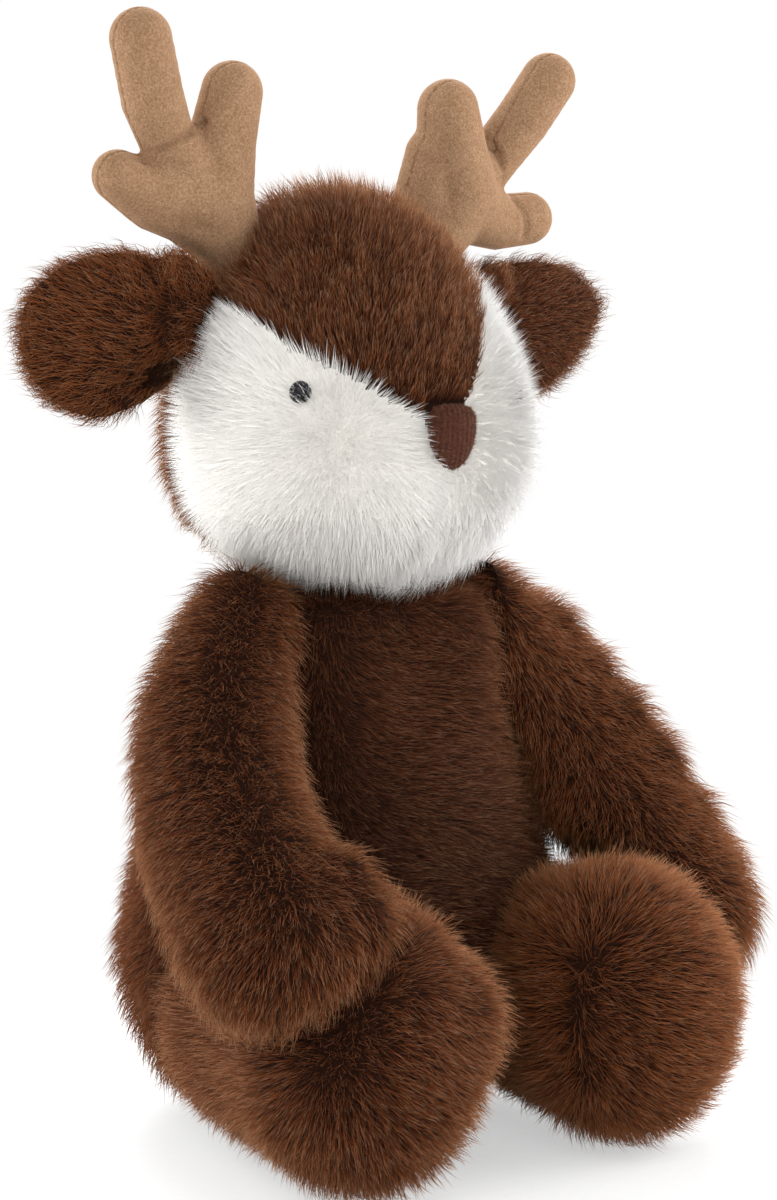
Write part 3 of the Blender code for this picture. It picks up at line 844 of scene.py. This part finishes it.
@dataclass
class Finishes:
    """The materials, each made once."""

    brown: bpy.types.Material = field(default_factory=BROWN_PILE.make)
    white: bpy.types.Material = field(default_factory=WHITE_PILE.make)
    nose: bpy.types.Material = field(default_factory=NOSE_PILE.make)
    brown_back: bpy.types.Material = field(default_factory=BROWN_BACKING.make)
    white_back: bpy.types.Material = field(default_factory=WHITE_BACKING.make)
    nose_back: bpy.types.Material = field(default_factory=NOSE_BACKING.make)
    velvet: bpy.types.Material = field(default_factory=ANTLER_VELVET.make)
    # The body's pile: the brown pile with painted shade
    body: bpy.types.Material = field(default_factory=BODY_PILE_SHADED.make)
    bead: bpy.types.Material = field(default_factory=EYE_BEAD.make)


def one_way(*way: float) -> RootField:
    """Pile that lies one way all over.

    Args:
        way: The direction.

    Returns:
        Gives it for any roots.
    """
    return lambda places: np.tile(way, (len(places), 1))


def even_tone(tone: float) -> RootField:
    """One place on the ramp of tones for a whole pelt.

    Args:
        tone: The place on the ramp.

    Returns:
        Gives it for any roots.
    """
    return lambda places: np.full(len(places), tone)


class Part(ABC):
    """One part of the toy.

    A method with places gets the roots of the pile, one row each, and returns one row for each: a direction
    for a flow, a share of the length for a trim, or a place on the ramp for a tone.
    """

    @abstractmethod
    def build(self, frame: dict, finishes: Finishes) -> None:
        """Build the part with its pile.

        Args:
            frame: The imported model.
            finishes: The materials.
        """


@dataclass
class Torso(Part):
    """The pear-shaped body. Its chest pile sweeps sideways and the rest hangs down."""

    nodes: tuple[str, ...] = ("body_front_panel", "body_back_left_panel", "body_back_right_panel",
                              "seat_panel", "bean_pouch", "body_stuffing")
    chest_from: float = -42 * MM
    chest_to: float = -8 * MM
    shoulder: Place = (29 * MM, -7 * MM, 148 * MM)
    shoulder_radius: float = 16 * MM
    neck_balls: Balls = (((0.0, -8 * MM, 157 * MM), 17 * MM), ((-13 * MM, -7 * MM, 157 * MM), 16 * MM),
                         ((13 * MM, -7 * MM, 157 * MM), 16 * MM), ((32 * MM, -7 * MM, 160 * MM), 12.4 * MM))

    def flow(self, places: np.ndarray) -> np.ndarray:
        """The way the body's pile lies."""
        chest = smooth_step(self.chest_from, self.chest_to, places[:, 0]) \
            * smooth_step(5 * MM, -20 * MM, places[:, 1]) * smooth_step(160 * MM, 132 * MM, places[:, 2])
        lay = np.zeros_like(places)
        lay[:, 0] = chest * 1.0 + (1 - chest) * 0.4 * np.sign(places[:, 0])
        lay[:, 1] = (1 - chest) * 0.25 * np.sign(places[:, 1])
        lay[:, 2] = -0.28 * chest - 0.85 * (1 - chest)
        return lay

    def trim(self, places: np.ndarray) -> np.ndarray:
        """The rump's pile is a little longer."""
        rump = smooth_step(0, 20 * MM, places[:, 1]) * smooth_step(75 * MM, 45 * MM, places[:, 2])
        return 1 + 0.3 * rump

    def tone(self, places: np.ndarray) -> np.ndarray:
        """Painted shade: the pile's tone is darkest low on the belly and on the chest's front, where shade
        falls between the arms and legs, and lighter on the back.
        """
        back = smooth_step(-30 * MM, 10 * MM, places[:, 1])
        return 0.7 * back + 0.3 * (1 - back) * smooth_step(80 * MM, 140 * MM, places[:, 2])

    def build(self, frame: dict, finishes: Finishes) -> None:
        """Build the body."""
        x, y, z = self.shoulder
        balls = self.neck_balls + tuple(((side.value * x, y, z), self.shoulder_radius) for side in Side)
        form = StuffedForm("body_form", self.nodes, "body", balls=balls).build(
            frame, finishes.brown_back, "brown_fur")
        # The tint paints shade on the chest and belly
        front = Pelt("body_front", "body", "brown_fur", self.flow, seed=11, trim=self.trim, tint=self.tone,
                     keep=lambda places: (places[:, 1] < 0) & (places[:, 2] > PILE_FROM))
        front.grow(form, finishes.body)
        replace(front, name="body_back", per_mm2=1.0, thickness=1.35, seed=12,
                keep=lambda places: (places[:, 1] >= 0) & (places[:, 2] > PILE_FROM)).grow(
            form, finishes.body)


@dataclass
class Head(Part):
    """The round head: brown blaze and back, white cheeks, a ribbed nose and two bead eyes."""

    nodes: tuple[str, ...] = ("head_back_panel", "cheek_right_panel", "cheek_left_panel", "blaze_panel",
                              "head_stuffing")
    seam_y: float = 9 * MM
    seam_y_from: float = 220 * MM
    seam_y_slope: float = 0.34
    tip_z: float = 208.0 * MM
    right_rise: float = 0.66
    right_turn: float = 38 * MM
    right_steep: float = 1.7
    left_rise: float = 1.42
    right_cheek: Place = (-30 * MM, -42 * MM, 207 * MM)
    left_cheek: Place = (44 * MM, -22 * MM, 208 * MM)
    left_lay: float = 0.55
    nose_middle: Place = (0.0, -57 * MM, 208.5 * MM)
    nose_grow: Place = (1.18, 1.1, 1.12)
    nose_shift: Place = (-0.6 * MM, 0.3 * MM, 1.9 * MM)
    nose_clear: float = 0.35 * MM
    rib_gap: float = 1.7 * MM
    nose_reach: float = 8 * MM
    nose_front: float = -50 * MM
    eye_sink: float = 5.4 * MM
    eye_clear: float = 1.6 * MM
    eye_radius: float = 3.3 * MM
    eye_dome: float = 0.86
    left_eye_cover: float = 3.4 * MM

    def is_white(self, places: np.ndarray) -> np.ndarray:
        """Which roots lie on the white cheeks. The seam is steeper on the toy's left.

        Args:
            places: Root places.

        Returns:
            True on the cheeks.
        """
        x, y, z = places.T
        right = self.right_rise * -x + self.right_steep * np.maximum(-x - self.right_turn, 0)
        seam = self.tip_z + np.where(x < 0, right, self.left_rise * x)
        back = self.seam_y - self.seam_y_slope * np.maximum(z - self.seam_y_from, 0)
        return (y < back) & (z < seam)

    def eye_distance(self, places: np.ndarray) -> np.ndarray:
        """How far each root lies from the nearer eye. The left one lies deeper in the pile.

        Args:
            places: Root places.

        Returns:
            Distances.
        """
        nearest = np.full(len(places), 1.0)
        for side in Side:
            low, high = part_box(f"eye_{side.label}")
            middle = (np.array(low) + np.array(high)) / 2
            distance = np.linalg.norm(places - middle, axis=1)
            nearest = np.minimum(nearest, distance + (self.left_eye_cover if side is Side.LEFT else 0))
        return nearest

    def trim(self, places: np.ndarray) -> np.ndarray:
        """Pile is clipped round the eyes and longer under the chin."""
        near = smooth_step(2 * MM, 8 * MM, self.eye_distance(places))
        dice = np.random.default_rng(41).random(len(places))
        near = np.where(dice < 0.3, np.maximum(near, 0.8), near)
        chin = smooth_step(192 * MM, 168 * MM, places[:, 2])
        return (0.6 + 0.4 * near) * (1 + 0.7 * chin)

    def cheek_flow(self, places: np.ndarray) -> np.ndarray:
        """White pile fans out from the middle of each cheek and hangs under the chin."""
        away = places - np.where(places[:, :1] < 0, self.right_cheek, self.left_cheek)
        reach = np.linalg.norm(away, axis=1, keepdims=True)
        lay = unit(away) * (0.28 + 0.72 * smooth_step(0, 28 * MM, reach))
        lay *= np.where(places[:, :1] < 0, 1.0, self.left_lay)
        lay[:, 2] -= 0.15 + 0.9 * smooth_step(196 * MM, 172 * MM, places[:, 2])
        beside = np.linalg.norm(places - np.array(self.nose_middle), axis=1)
        stand = smooth_step(18 * MM, 11 * MM, beside) * (places[:, 0] < 0)
        return lay * (1 - 0.6 * stand)[:, None]

    def brown_flow(self, places: np.ndarray) -> np.ndarray:
        """Brown pile is brushed up the brow, over the crown and down the back."""
        front = smooth_step(12 * MM, -6 * MM, places[:, 1])
        lay = np.zeros_like(places)
        lay[:, 0] = 7 * places[:, 0] * (1 - 0.5 * front)
        lay[:, 1] = 0.35 + 0.4 * (1 - front)
        lay[:, 2] = front * 1.0 - (1 - front) * 0.75
        return unit(lay) * (1 - 0.4 * smooth_step(238 * MM, 258 * MM, places[:, 2]))[:, None]

    def build(self, frame: dict, finishes: Finishes) -> None:
        """Build the head."""
        form = StuffedForm("head_form", self.nodes, "head").build(frame, finishes.brown_back, "brown_fur")
        form.data.materials.append(finishes.white_back)
        centres = np.array([face.center[:] for face in form.data.polygons])
        form.data.polygons.foreach_set("material_index", self.is_white(centres).astype(np.int32))
        nose = self.build_nose(frame, finishes)
        patch = BVHTree.FromObject(nose, bpy.context.evaluated_depsgraph_get())

        def bare(places: np.ndarray) -> np.ndarray:
            """Which roots lie under the nose patch, beside it or on an eye."""
            held = self.eye_distance(places) < self.eye_clear
            for index in np.flatnonzero((np.abs(places[:, 0]) < 16 * MM) & (places[:, 1] < -40 * MM)):
                held[index] |= patch.find_nearest(places[index], self.nose_clear)[0] is not None
                held[index] |= patch.ray_cast(places[index], (0, -1, 0), self.nose_reach)[0] is not None
            return held

        Pelt("cheek", "head", "white_fur", self.cheek_flow, length=FACE_PILE, per_mm2=2.5, steepness=0.92,
             lock_pull=0.12, swirl=0.16, roundness=0.06, least_lay=0.22, layers=CHEEK_LAYERS, seed=21,
             trim=self.trim, keep=lambda places: self.is_white(places) & ~bare(places)).grow(
            form, finishes.white)
        Pelt("blaze", "head", "brown_fur", self.brown_flow, length=FACE_PILE, per_mm2=2.1, swirl=0.4,
             lock_pull=0.42, seed=22, keep=lambda places: (
                 ~self.is_white(places) & ~bare(places) & (places[:, 1] < self.seam_y))).grow(
            form, finishes.brown)
        Pelt("head_back", "head", "brown_fur", self.brown_flow, per_mm2=1.1, thickness=1.3, seed=23,
             keep=lambda places: ~self.is_white(places) & (places[:, 1] >= self.seam_y)).grow(
            form, finishes.brown)
        for side in Side:
            self.build_eye(side, finishes)

    def build_nose(self, frame: dict, finishes: Finishes) -> bpy.types.Object:
        """The nose patch, in short pile that stands in upright ribs.

        Args:
            frame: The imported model.
            finishes: The materials.

        Returns:
            The patch without its pile.
        """
        form = StuffedForm("nose_form", ("nose",), "head", voxel=0.6 * MM, inset=0.4 * MM,
                           relax_turns=3).build(frame, finishes.nose_back, "nose_pile")
        middle = Vector(self.nose_middle)
        form.data.transform(Matrix.Translation(middle + Vector(self.nose_shift))
                            @ Matrix.Diagonal((*self.nose_grow, 1.0)) @ Matrix.Translation(-middle))

        def ribs(places: np.ndarray) -> np.ndarray:
            """The cut pile stands higher on each rib; as a tint the same wave paints a highlight along each
            rib.
            """
            return 0.5 + 0.5 * np.cos(places[:, 0] / self.rib_gap * math.tau)

        # The ribs' tint is a painted highlight along each rib
        Pelt("nose", "head", "nose_pile", one_way(0.0, 0.0, -1.0), length=1.7 * MM, per_mm2=16.0,
             thickness=0.75, steepness=2.2, lock_spacing=0.9 * MM, lock_pull=0.3, swirl=0.2, layers=(UNDER,),
             seed=24, keep=lambda places: places[:, 1] < self.nose_front,
             trim=lambda places: 0.5 + 0.7 * ribs(places), tint=ribs).grow(form, finishes.nose)
        return form

    def build_eye(self, side: Side, finishes: Finishes) -> None:
        """A domed bead on the cheek.

        Args:
            side: Which eye.
            finishes: The materials.
        """
        node = f"eye_{side.label}"
        places = np.array([vert.co[:] for vert in bpy.data.objects[node].data.vertices])
        order = np.argsort(places @ np.array([side.value * 0.73, -0.66, 0.2]))
        front, rear = places[order[-12:]].mean(axis=0), places[order[:12]].mean(axis=0)
        outward = Vector(front - rear).normalized()
        deeper = self.left_eye_cover / 2 if side is Side.LEFT else 0.0
        middle = Vector(front) - outward * (self.eye_sink + deeper)
        deselect()
        bpy.ops.mesh.primitive_uv_sphere_add(segments=40, ring_count=24, radius=self.eye_radius)
        bead = bpy.context.active_object
        bead.name = f"eye_bead_{side.label}"
        bpy.ops.object.mode_set(mode="EDIT")
        bpy.ops.mesh.select_all(action="SELECT")
        bpy.ops.transform.resize(value=(1.0, 1.0, self.eye_dome))
        bpy.ops.object.mode_set(mode="OBJECT")
        bead.data.transform(Matrix.Translation(middle) @ outward.to_track_quat("Z", "Y").to_matrix().to_4x4())
        bpy.ops.object.shade_smooth()
        bead.data.materials.append(finishes.bead)
        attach(bead, "head")
        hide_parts(node)


@dataclass
class Ear(Part):
    """A soft paddle whose pile fans from the root to the rim."""

    side: Side
    tuck_from: float = 68 * MM
    tuck_top: float = 246 * MM
    tuck_run: float = 18 * MM
    tuck_rise: float = 0.3
    lift_from: float = 50 * MM
    lift: float = 0.13

    def build(self, frame: dict, finishes: Finishes) -> None:
        """Build the ear."""
        label = f"ear_{self.side.label}"
        form = StuffedForm(f"{label}_form", (f"{label}_front_panel", f"{label}_back_panel"), label,
                           voxel=1.8 * MM, inset=0.6 * MM if self.side is Side.RIGHT else 1.6 * MM,
                           relax_turns=6, balls=self.root_balls()).build(
            frame, finishes.brown_back, "brown_fur")
        if self.side is Side.LEFT:
            self.tuck(form)
        else:
            EAR_HOLLOW.press(form)
        root = np.array([self.side.value * 44 * MM, 8 * MM, 240 * MM])
        # Painted light and shade: the right ear's pile is tinted lightest and the left one darker, for how
        # the light falls on each
        Pelt(label, label, "brown_fur", lambda places: unit(places - root), length=FACE_PILE,
             per_mm2=1.9, steepness=0.55, swirl=0.4, seed=31 + self.side.value,
             tint=even_tone(1.0 if self.side is Side.RIGHT else 0.6)).grow(form, finishes.brown)

    def root_balls(self) -> Balls:
        """The stuffing that fills the ear's broad root.

        Returns:
            Middles and radii.
        """
        return tuple(((self.side.value * x * MM, 5 * MM, z * MM), 8.5 * MM) for x, z in
                     ((56, 255), (50, 251), (50, 243), (51, 235)))

    def tuck(self, form: bpy.types.Object) -> None:
        """The left ear is lifted, and its lower rim is drawn up towards its tip.

        Args:
            form: The ear.
        """
        for vert in form.data.vertices:
            reach = max(vert.co.x - self.tuck_from, 0)
            low = min(max((self.tuck_top - vert.co.z) / self.tuck_run, 0), 1)
            vert.co.z += self.tuck_rise * reach * low + self.lift * max(vert.co.x - self.lift_from, 0)

EAR_HOLLOW = Crease(((-73.0, 6.0, 224.0), (-57.5, 6.0, 229.0), (-47.0, 0.5, 242.0)), 6.0, 4.5)


@dataclass
class Antler(Part):
    """A stuffed velvet antler: a broad palm with three blunt tines and a seam round its edge.

    Each line is a run of middles and radii in millimetres that the stuffing fills out.
    """

    side: Side
    lines: tuple[tuple[tuple[float, float, float, float], ...], ...]
    creases: tuple[Crease, ...]
    lean: float = math.radians(15.6)
    seam_y: float = 4.4 * MM
    seam_half: float = 0.7 * MM
    seam_depth: float = 1.0 * MM

    def seam_height(self, place: Vector) -> float:
        """How far a place lies in front of the seam's plane.

        Args:
            place: The place.

        Returns:
            The distance.
        """
        middle = Vector((self.side.value * 50 * MM, self.seam_y, 286 * MM))
        return (place - middle).dot(Vector((0, math.cos(self.lean), math.sin(self.lean))))

    def filled(self) -> Balls:
        """The balls of stuffing along every line.

        Returns:
            Middles and radii, in metres.
        """
        balls = []
        for line in self.lines:
            for start, end in zip(line, line[1:]):
                for share in (0.0, 0.25, 0.5, 0.75, 1.0):
                    x, y, z, radius = (low + (high - low) * share for low, high in zip(start, end))
                    balls.append(((x * MM, y * MM, z * MM), radius * MM))
        return tuple(balls)

    def sew(self, piece: bpy.types.Object) -> None:
        """Draw the velvet in along the seam.

        Args:
            piece: The antler.
        """
        mesh = bmesh.new()
        mesh.from_mesh(piece.data)
        middle = Vector((self.side.value * 50 * MM, self.seam_y, 286 * MM))
        way = Vector((0, math.cos(self.lean), math.sin(self.lean)))
        for offset in (-self.seam_half, 0.0, self.seam_half):
            bmesh.ops.bisect_plane(mesh, geom=mesh.verts[:] + mesh.edges[:] + mesh.faces[:],
                                   dist=0.02 * MM, plane_co=middle + way * offset, plane_no=way)
        mesh.normal_update()
        moved = [(vert, vert.normal.copy()) for vert in mesh.verts
                 if abs(self.seam_height(vert.co)) < self.seam_half * 0.2]
        for vert, outward in moved:
            outward -= way * outward.dot(way)
            vert.co -= outward.normalized() * self.seam_depth
        bmesh.ops.triangulate(mesh, faces=mesh.faces[:])
        mesh.to_mesh(piece.data)
        mesh.free()

    def build(self, frame: dict, finishes: Finishes) -> None:
        """Build the antler."""
        label = f"antler_{self.side.label}"
        piece = StuffedForm(f"{label}_form", (f"{label}_front_panel", f"{label}_back_panel",
                                              f"{label}_stuffing"),
                            "head", voxel=0.95 * MM, inset=0.0, relax_turns=6, fill=0.9,
                            balls=self.filled(), from_nodes=False).build(
            frame, finishes.velvet, "antler_velvet")
        for crease in self.creases:
            crease.press(piece)
        self.sew(piece)


RIGHT_ANTLER_LINES = (
    ((-30.5, 13.0, 259.0, 10.4), (-35.9, 11.0, 268.2, 10.9), (-42.0, 7.9, 279.0, 12.6),
     (-49.5, 7.4, 281.0, 12.2), (-64.0, 7.8, 280.0, 9.7), (-74.5, 6.5, 284.4, 7.8)),
    ((-36.0, 11.0, 268.2, 10.5), (-52.0, 9.3, 274.6, 8.6), (-62.0, 8.4, 277.6, 8.6)),
    ((-42.0, 7.9, 279.0, 12.3), (-41.6, 3.1, 296.3, 10.3), (-40.4, -0.7, 310.0, 9.3)),
    ((-50.0, 6.5, 285.0, 10.5), (-61.2, 2.3, 296.5, 8.5), (-66.8, -0.6, 306.1, 9.4),
     (-73.0, -5.2, 322.2, 9.2)),
)
LEFT_ANTLER_LINES = (
    ((31.0, 12.5, 260.0, 10.4), (38.9, 8.6, 274.0, 12.0), (46.0, 6.0, 284.0, 13.0),
     (51.0, 7.4, 281.0, 11.9), (62.5, 8.6, 276.8, 9.0), (74.6, 8.1, 278.4, 8.6)),
    ((46.0, 6.0, 284.0, 13.0), (41.3, 2.7, 297.0, 11.4), (37.4, -0.6, 309.7, 9.8)),
    ((34.5, 8.0, 281.0, 10.4), (35.6, 4.6, 296.0, 9.2)),
    ((52.0, 9.0, 287.0, 9.0), (60.1, 5.8, 297.4, 8.5), (67.3, 0.7, 308.6, 8.9),
     (74.1, -3.8, 321.0, 8.9)),
)

RIGHT_ANTLER_CREASES = (
    Crease(((-69.0, 1.0, 289.0), (-66.0, -2.5, 291.0), (-63.2, -5.6, 293.4), (-59.5, -6.0, 295.4),
            (-52.7, -3.0, 299.0), (-50.3, -1.0, 301.0)), 1.1, 2.4),
)
LEFT_ANTLER_CREASES = (
    Crease(((50.5, -1.0, 304.5), (54.7, -0.8, 299.7), (56.6, -2.2, 295.9), (58.7, -2.2, 291.7),
            (60.5, -0.5, 287.0)), 1.1, 2.4),
    Crease(((65.0, 1.5, 284.2), (66.4, 0.0, 281.5), (67.9, -0.8, 278.4), (68.7, 0.0, 274.6),
            (69.4, 2.0, 271.6)), 1.2, 1.2),
)


@dataclass
class Arm(Part):
    """A hanging arm whose pile runs down from the shoulder to the paw.

    Its balls of stuffing are given in millimetres, each with a middle and a radius.
    """

    side: Side
    stuffing: tuple[tuple[float, float, float, float], ...]

    def flow(self, places: np.ndarray) -> np.ndarray:
        """The way the arm's pile lies."""
        return np.tile((0.25 * self.side.value, -0.2, -1.0), (len(places), 1))

    def build(self, frame: dict, finishes: Finishes) -> None:
        """Build the arm."""
        label = f"arm_{self.side.label}"
        balls = tuple(((x * MM, y * MM, z * MM), radius * MM) for x, y, z, radius in self.stuffing)
        form = StuffedForm(f"{label}_form", tuple(f"{label}_{part}" for part in
                                                  ("inner_panel", "outer_panel", "stuffing")), label,
                           balls=balls).build(frame, finishes.brown_back, "brown_fur")
        # Painted light and shade: the right arm's pile is tinted darker and the left one lighter, for how the
        # light falls on each side
        Pelt(label, label, "brown_fur", self.flow, seed=41 + self.side.value,
             tint=even_tone(0.75 if self.side is Side.RIGHT else 0.95)).grow(form, finishes.brown)


RIGHT_ARM_STUFFING = ((-39.0, -12.0, 157.0, 13.0), (-43.0, -20.0, 150.0, 12.0), (-58.9, -92.0, 81.0, 13.8),
                      (-61.5, -90.0, 72.5, 13.8), (-59.0, -86.0, 90.0, 11.6))
LEFT_ARM_STUFFING = ((45.2, -14.0, 153.7, 12.6), (45.8, -20.0, 142.2, 12.0), (64.1, -14.0, 145.4, 14.8),
                     (71.3, -22.0, 131.0, 15.4), (77.5, -32.0, 117.9, 15.4), (84.9, -40.0, 104.3, 15.2),
                     (90.9, -50.0, 87.3, 15.0), (97.0, -56.0, 74.0, 13.4))


@dataclass
class Leg(Part):
    """A leg laid forward. Its pile fans out from a whorl on the sole, and from a parting that runs on."""

    side: Side
    whorl: Place
    parting: Place = (0.0, 0.0, -40 * MM)
    least_flow: float = 0.6
    # Painted light and shade: tone sets how light the leg's pile is; the left leg is painted lighter, as if
    # lit from its side
    tone: float = 0.75
    balls: Balls = ()

    def flow(self, places: np.ndarray) -> np.ndarray:
        """The way the leg's pile lies."""
        away = places - np.array(self.whorl)
        parting = np.array(self.parting)
        along = np.clip(away @ parting / (parting @ parting), 0, 1)
        away -= along[:, None] * parting
        reach = np.linalg.norm(away, axis=1, keepdims=True)
        lay = unit(away) * (self.least_flow + (1 - self.least_flow) * smooth_step(0, 22 * MM, reach))
        lay[:, 2] -= 0.15
        return lay

    def build(self, frame: dict, finishes: Finishes) -> None:
        """Build the leg."""
        label = f"leg_{self.side.label}"
        form = StuffedForm(f"{label}_form", tuple(f"{label}_{part}" for part in
                                                  ("inner_panel", "outer_panel", "stuffing")), label,
                           balls=self.balls).build(frame, finishes.brown_back, "brown_fur")
        Pelt(label, label, "brown_fur", self.flow, seed=51 + self.side.value, tint=even_tone(self.tone),
             keep=lambda places: places[:, 2] > PILE_FROM).grow(form, finishes.brown)


@dataclass
class Tail(Part):
    """A short scut, brown above and white below."""

    split_z: float = 45 * MM

    def build(self, frame: dict, finishes: Finishes) -> None:
        """Build the tail."""
        form = StuffedForm("tail_form", ("tail_upper_panel", "tail_lower_panel"), "tail", voxel=1.5 * MM,
                           inset=2.0 * MM, relax_turns=4).build(frame, finishes.brown_back, "brown_fur")

        def upper(places: np.ndarray) -> np.ndarray:
            """Which roots lie on the brown upper side."""
            return places[:, 2] > 0.364 * (places[:, 1] - 59 * MM) + 38 * MM

        flow = one_way(0.0, 0.94, 0.34)
        Pelt("tail_upper", "tail", "brown_fur", flow, seed=61, keep=upper).grow(form, finishes.brown)
        Pelt("tail_lower", "tail", "white_fur", flow, seed=62,
             keep=lambda places: ~upper(places)).grow(form, finishes.white)


@dataclass
class Studio:
    """A pale floor, soft lights and the camera."""

    target: tuple[float, float, float] = (0.0, -0.023, 0.160)
    azimuth: float = math.radians(-34)
    elevation: float = math.radians(4.5)
    distance: float = 0.75
    lens_mm: float = 75.0
    world_light: float = 0.66
    fade_from: float = 0.10
    fade_to: float = 0.24

    def around(self, azimuth: float, elevation: float, distance: float) -> Vector:
        """A place round the target.

        Args:
            azimuth: Angle from the toy's front, in radians.
            elevation: Angle above level, in radians.
            distance: How far.

        Returns:
            The place.
        """
        back = Vector((math.sin(azimuth) * math.cos(elevation), -math.cos(azimuth) * math.cos(elevation),
                       math.sin(elevation)))
        return Vector(self.target) + back * distance

    def add_camera(self) -> None:
        """Stand the camera where the photograph was taken."""
        lens = bpy.data.cameras.new("camera")
        lens.lens = self.lens_mm
        lens.sensor_fit = "VERTICAL"
        lens.sensor_height = 36.0
        lens.clip_start = 0.02
        camera = bpy.data.objects.new("camera", lens)
        camera.location = self.around(self.azimuth, self.elevation, self.distance)
        camera.rotation_euler = (Vector(self.target) - camera.location).to_track_quat("-Z", "Y").to_euler()
        bpy.context.scene.collection.objects.link(camera)
        bpy.context.scene.camera = camera

    def add_lamp(self, name: str, azimuth: float, elevation: float, distance: float, size: float,
                 power: float) -> None:
        """Hang one soft lamp.

        Args:
            name: The lamp's name.
            azimuth: Angle from the toy's front, in degrees.
            elevation: Angle above level, in degrees.
            distance: How far from the target.
            size: The side of its square, in metres.
            power: Its power in watts.
        """
        lamp = bpy.data.lights.new(name, "AREA")
        lamp.size = size
        lamp.energy = power
        hung = bpy.data.objects.new(name, lamp)
        hung.location = self.around(math.radians(azimuth), math.radians(elevation), distance)
        hung.rotation_euler = (Vector(self.target) - hung.location).to_track_quat("-Z", "Y").to_euler()
        bpy.context.scene.collection.objects.link(hung)

    def add_world(self) -> None:
        """White all round for the camera, and a softer white for the light."""
        world = bpy.data.worlds.new("studio")
        bpy.context.scene.world = world
        world.use_nodes = True
        tree = world.node_tree
        tree.nodes.clear()
        soft = add_node(tree, "ShaderNodeBackground", {"Color": (1, 1, 1, 1), "Strength": self.world_light})
        white = add_node(tree, "ShaderNodeBackground", {"Color": (1, 1, 1, 1), "Strength": 1.0})
        mix = add_node(tree, "ShaderNodeMixShader", links={0: seen_directly(tree), 1: soft.outputs[0],
                                                           2: white.outputs[0]})
        add_node(tree, "ShaderNodeOutputWorld", links={"Surface": mix.outputs[0]})

    def add_floor(self) -> None:
        """Lay a pale floor."""
        deselect()
        bpy.ops.mesh.primitive_grid_add(x_subdivisions=4, y_subdivisions=4, size=6.0,
                                        location=(0, 0, -0.4 * MM))
        floor = bpy.context.active_object
        floor.name = "floor"
        material, inputs = new_material("matt_white_paper", {"Roughness": 0.9, "Specular IOR Level": 0.1})
        tree = material.node_tree
        tree.links.new(ramp(tree, noise(tree, 1 / 300, 2.0), ((0.3, "#fbfbfa"), (0.7, "#ffffff"))),
                       inputs["Base Color"])
        place = add_node(tree, "ShaderNodeTexCoord")
        distance = add_node(tree, "ShaderNodeVectorMath", links={0: place.outputs["Object"]},
                            operation="LENGTH")
        fade = add_node(tree, "ShaderNodeMapRange", {1: self.fade_from, 2: self.fade_to, 3: 0.5},
                        {0: distance.outputs["Value"]}, interpolation_type="SMOOTHSTEP")
        share = add_node(tree, "ShaderNodeMath", links={0: fade.outputs[0], 1: seen_directly(tree)},
                         operation="MULTIPLY")
        white = add_node(tree, "ShaderNodeEmission", {"Color": (1, 1, 1, 1), "Strength": 1.0})
        paper = tree.nodes["Principled BSDF"].outputs[0]
        mix = add_node(tree, "ShaderNodeMixShader", links={0: share.outputs[0], 1: paper,
                                                           2: white.outputs[0]})
        tree.links.new(mix.outputs[0], tree.nodes["Material Output"].inputs["Surface"])
        floor.data.materials.append(material)

    def build(self) -> None:
        """Set up the studio."""
        self.add_camera()
        self.add_world()
        self.add_floor()
        self.add_lamp("key", -45, 40, 1.4, 1.0, 5.5)
        self.add_lamp("fill", -15, 4, 1.5, 0.6, 2.8)
        self.add_lamp("side_left", 58, 22, 1.2, 1.0, 14.5)
        self.add_lamp("side_right", -125, 22, 1.2, 1.0, 13.0)
        self.add_lamp("rim", 146, 45, 1.2, 1.0, 20.0)
        bpy.context.scene.view_settings.view_transform = "Standard"


def main() -> None:
    """Build the toy and its studio in order."""
    logging.basicConfig(level=logging.INFO, format="%(message)s")
    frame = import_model()
    deselect()
    Studio().build()
    finishes = Finishes()
    Torso().build(frame, finishes)
    Head().build(frame, finishes)
    for side in Side:
        Ear(side).build(frame, finishes)
    Antler(Side.RIGHT, RIGHT_ANTLER_LINES, RIGHT_ANTLER_CREASES).build(frame, finishes)
    Antler(Side.LEFT, LEFT_ANTLER_LINES, LEFT_ANTLER_CREASES).build(frame, finishes)
    Leg(Side.RIGHT, (-47 * MM, -99 * MM, 77 * MM), parting=(-24 * MM, 4 * MM, -34 * MM), least_flow=0.3,
        balls=(((-32 * MM, -88 * MM, 49 * MM), 22.5 * MM),)).build(frame, finishes)
    # The left leg's tone of 1.0 is painted light
    Leg(Side.LEFT, (15 * MM, -93 * MM, 61 * MM), least_flow=0.8, tone=1.0).build(frame, finishes)
    Arm(Side.RIGHT, RIGHT_ARM_STUFFING).build(frame, finishes)
    Arm(Side.LEFT, LEFT_ARM_STUFFING).build(frame, finishes)
    Tail().build(frame, finishes)


if __name__ == "__main__":
    main()
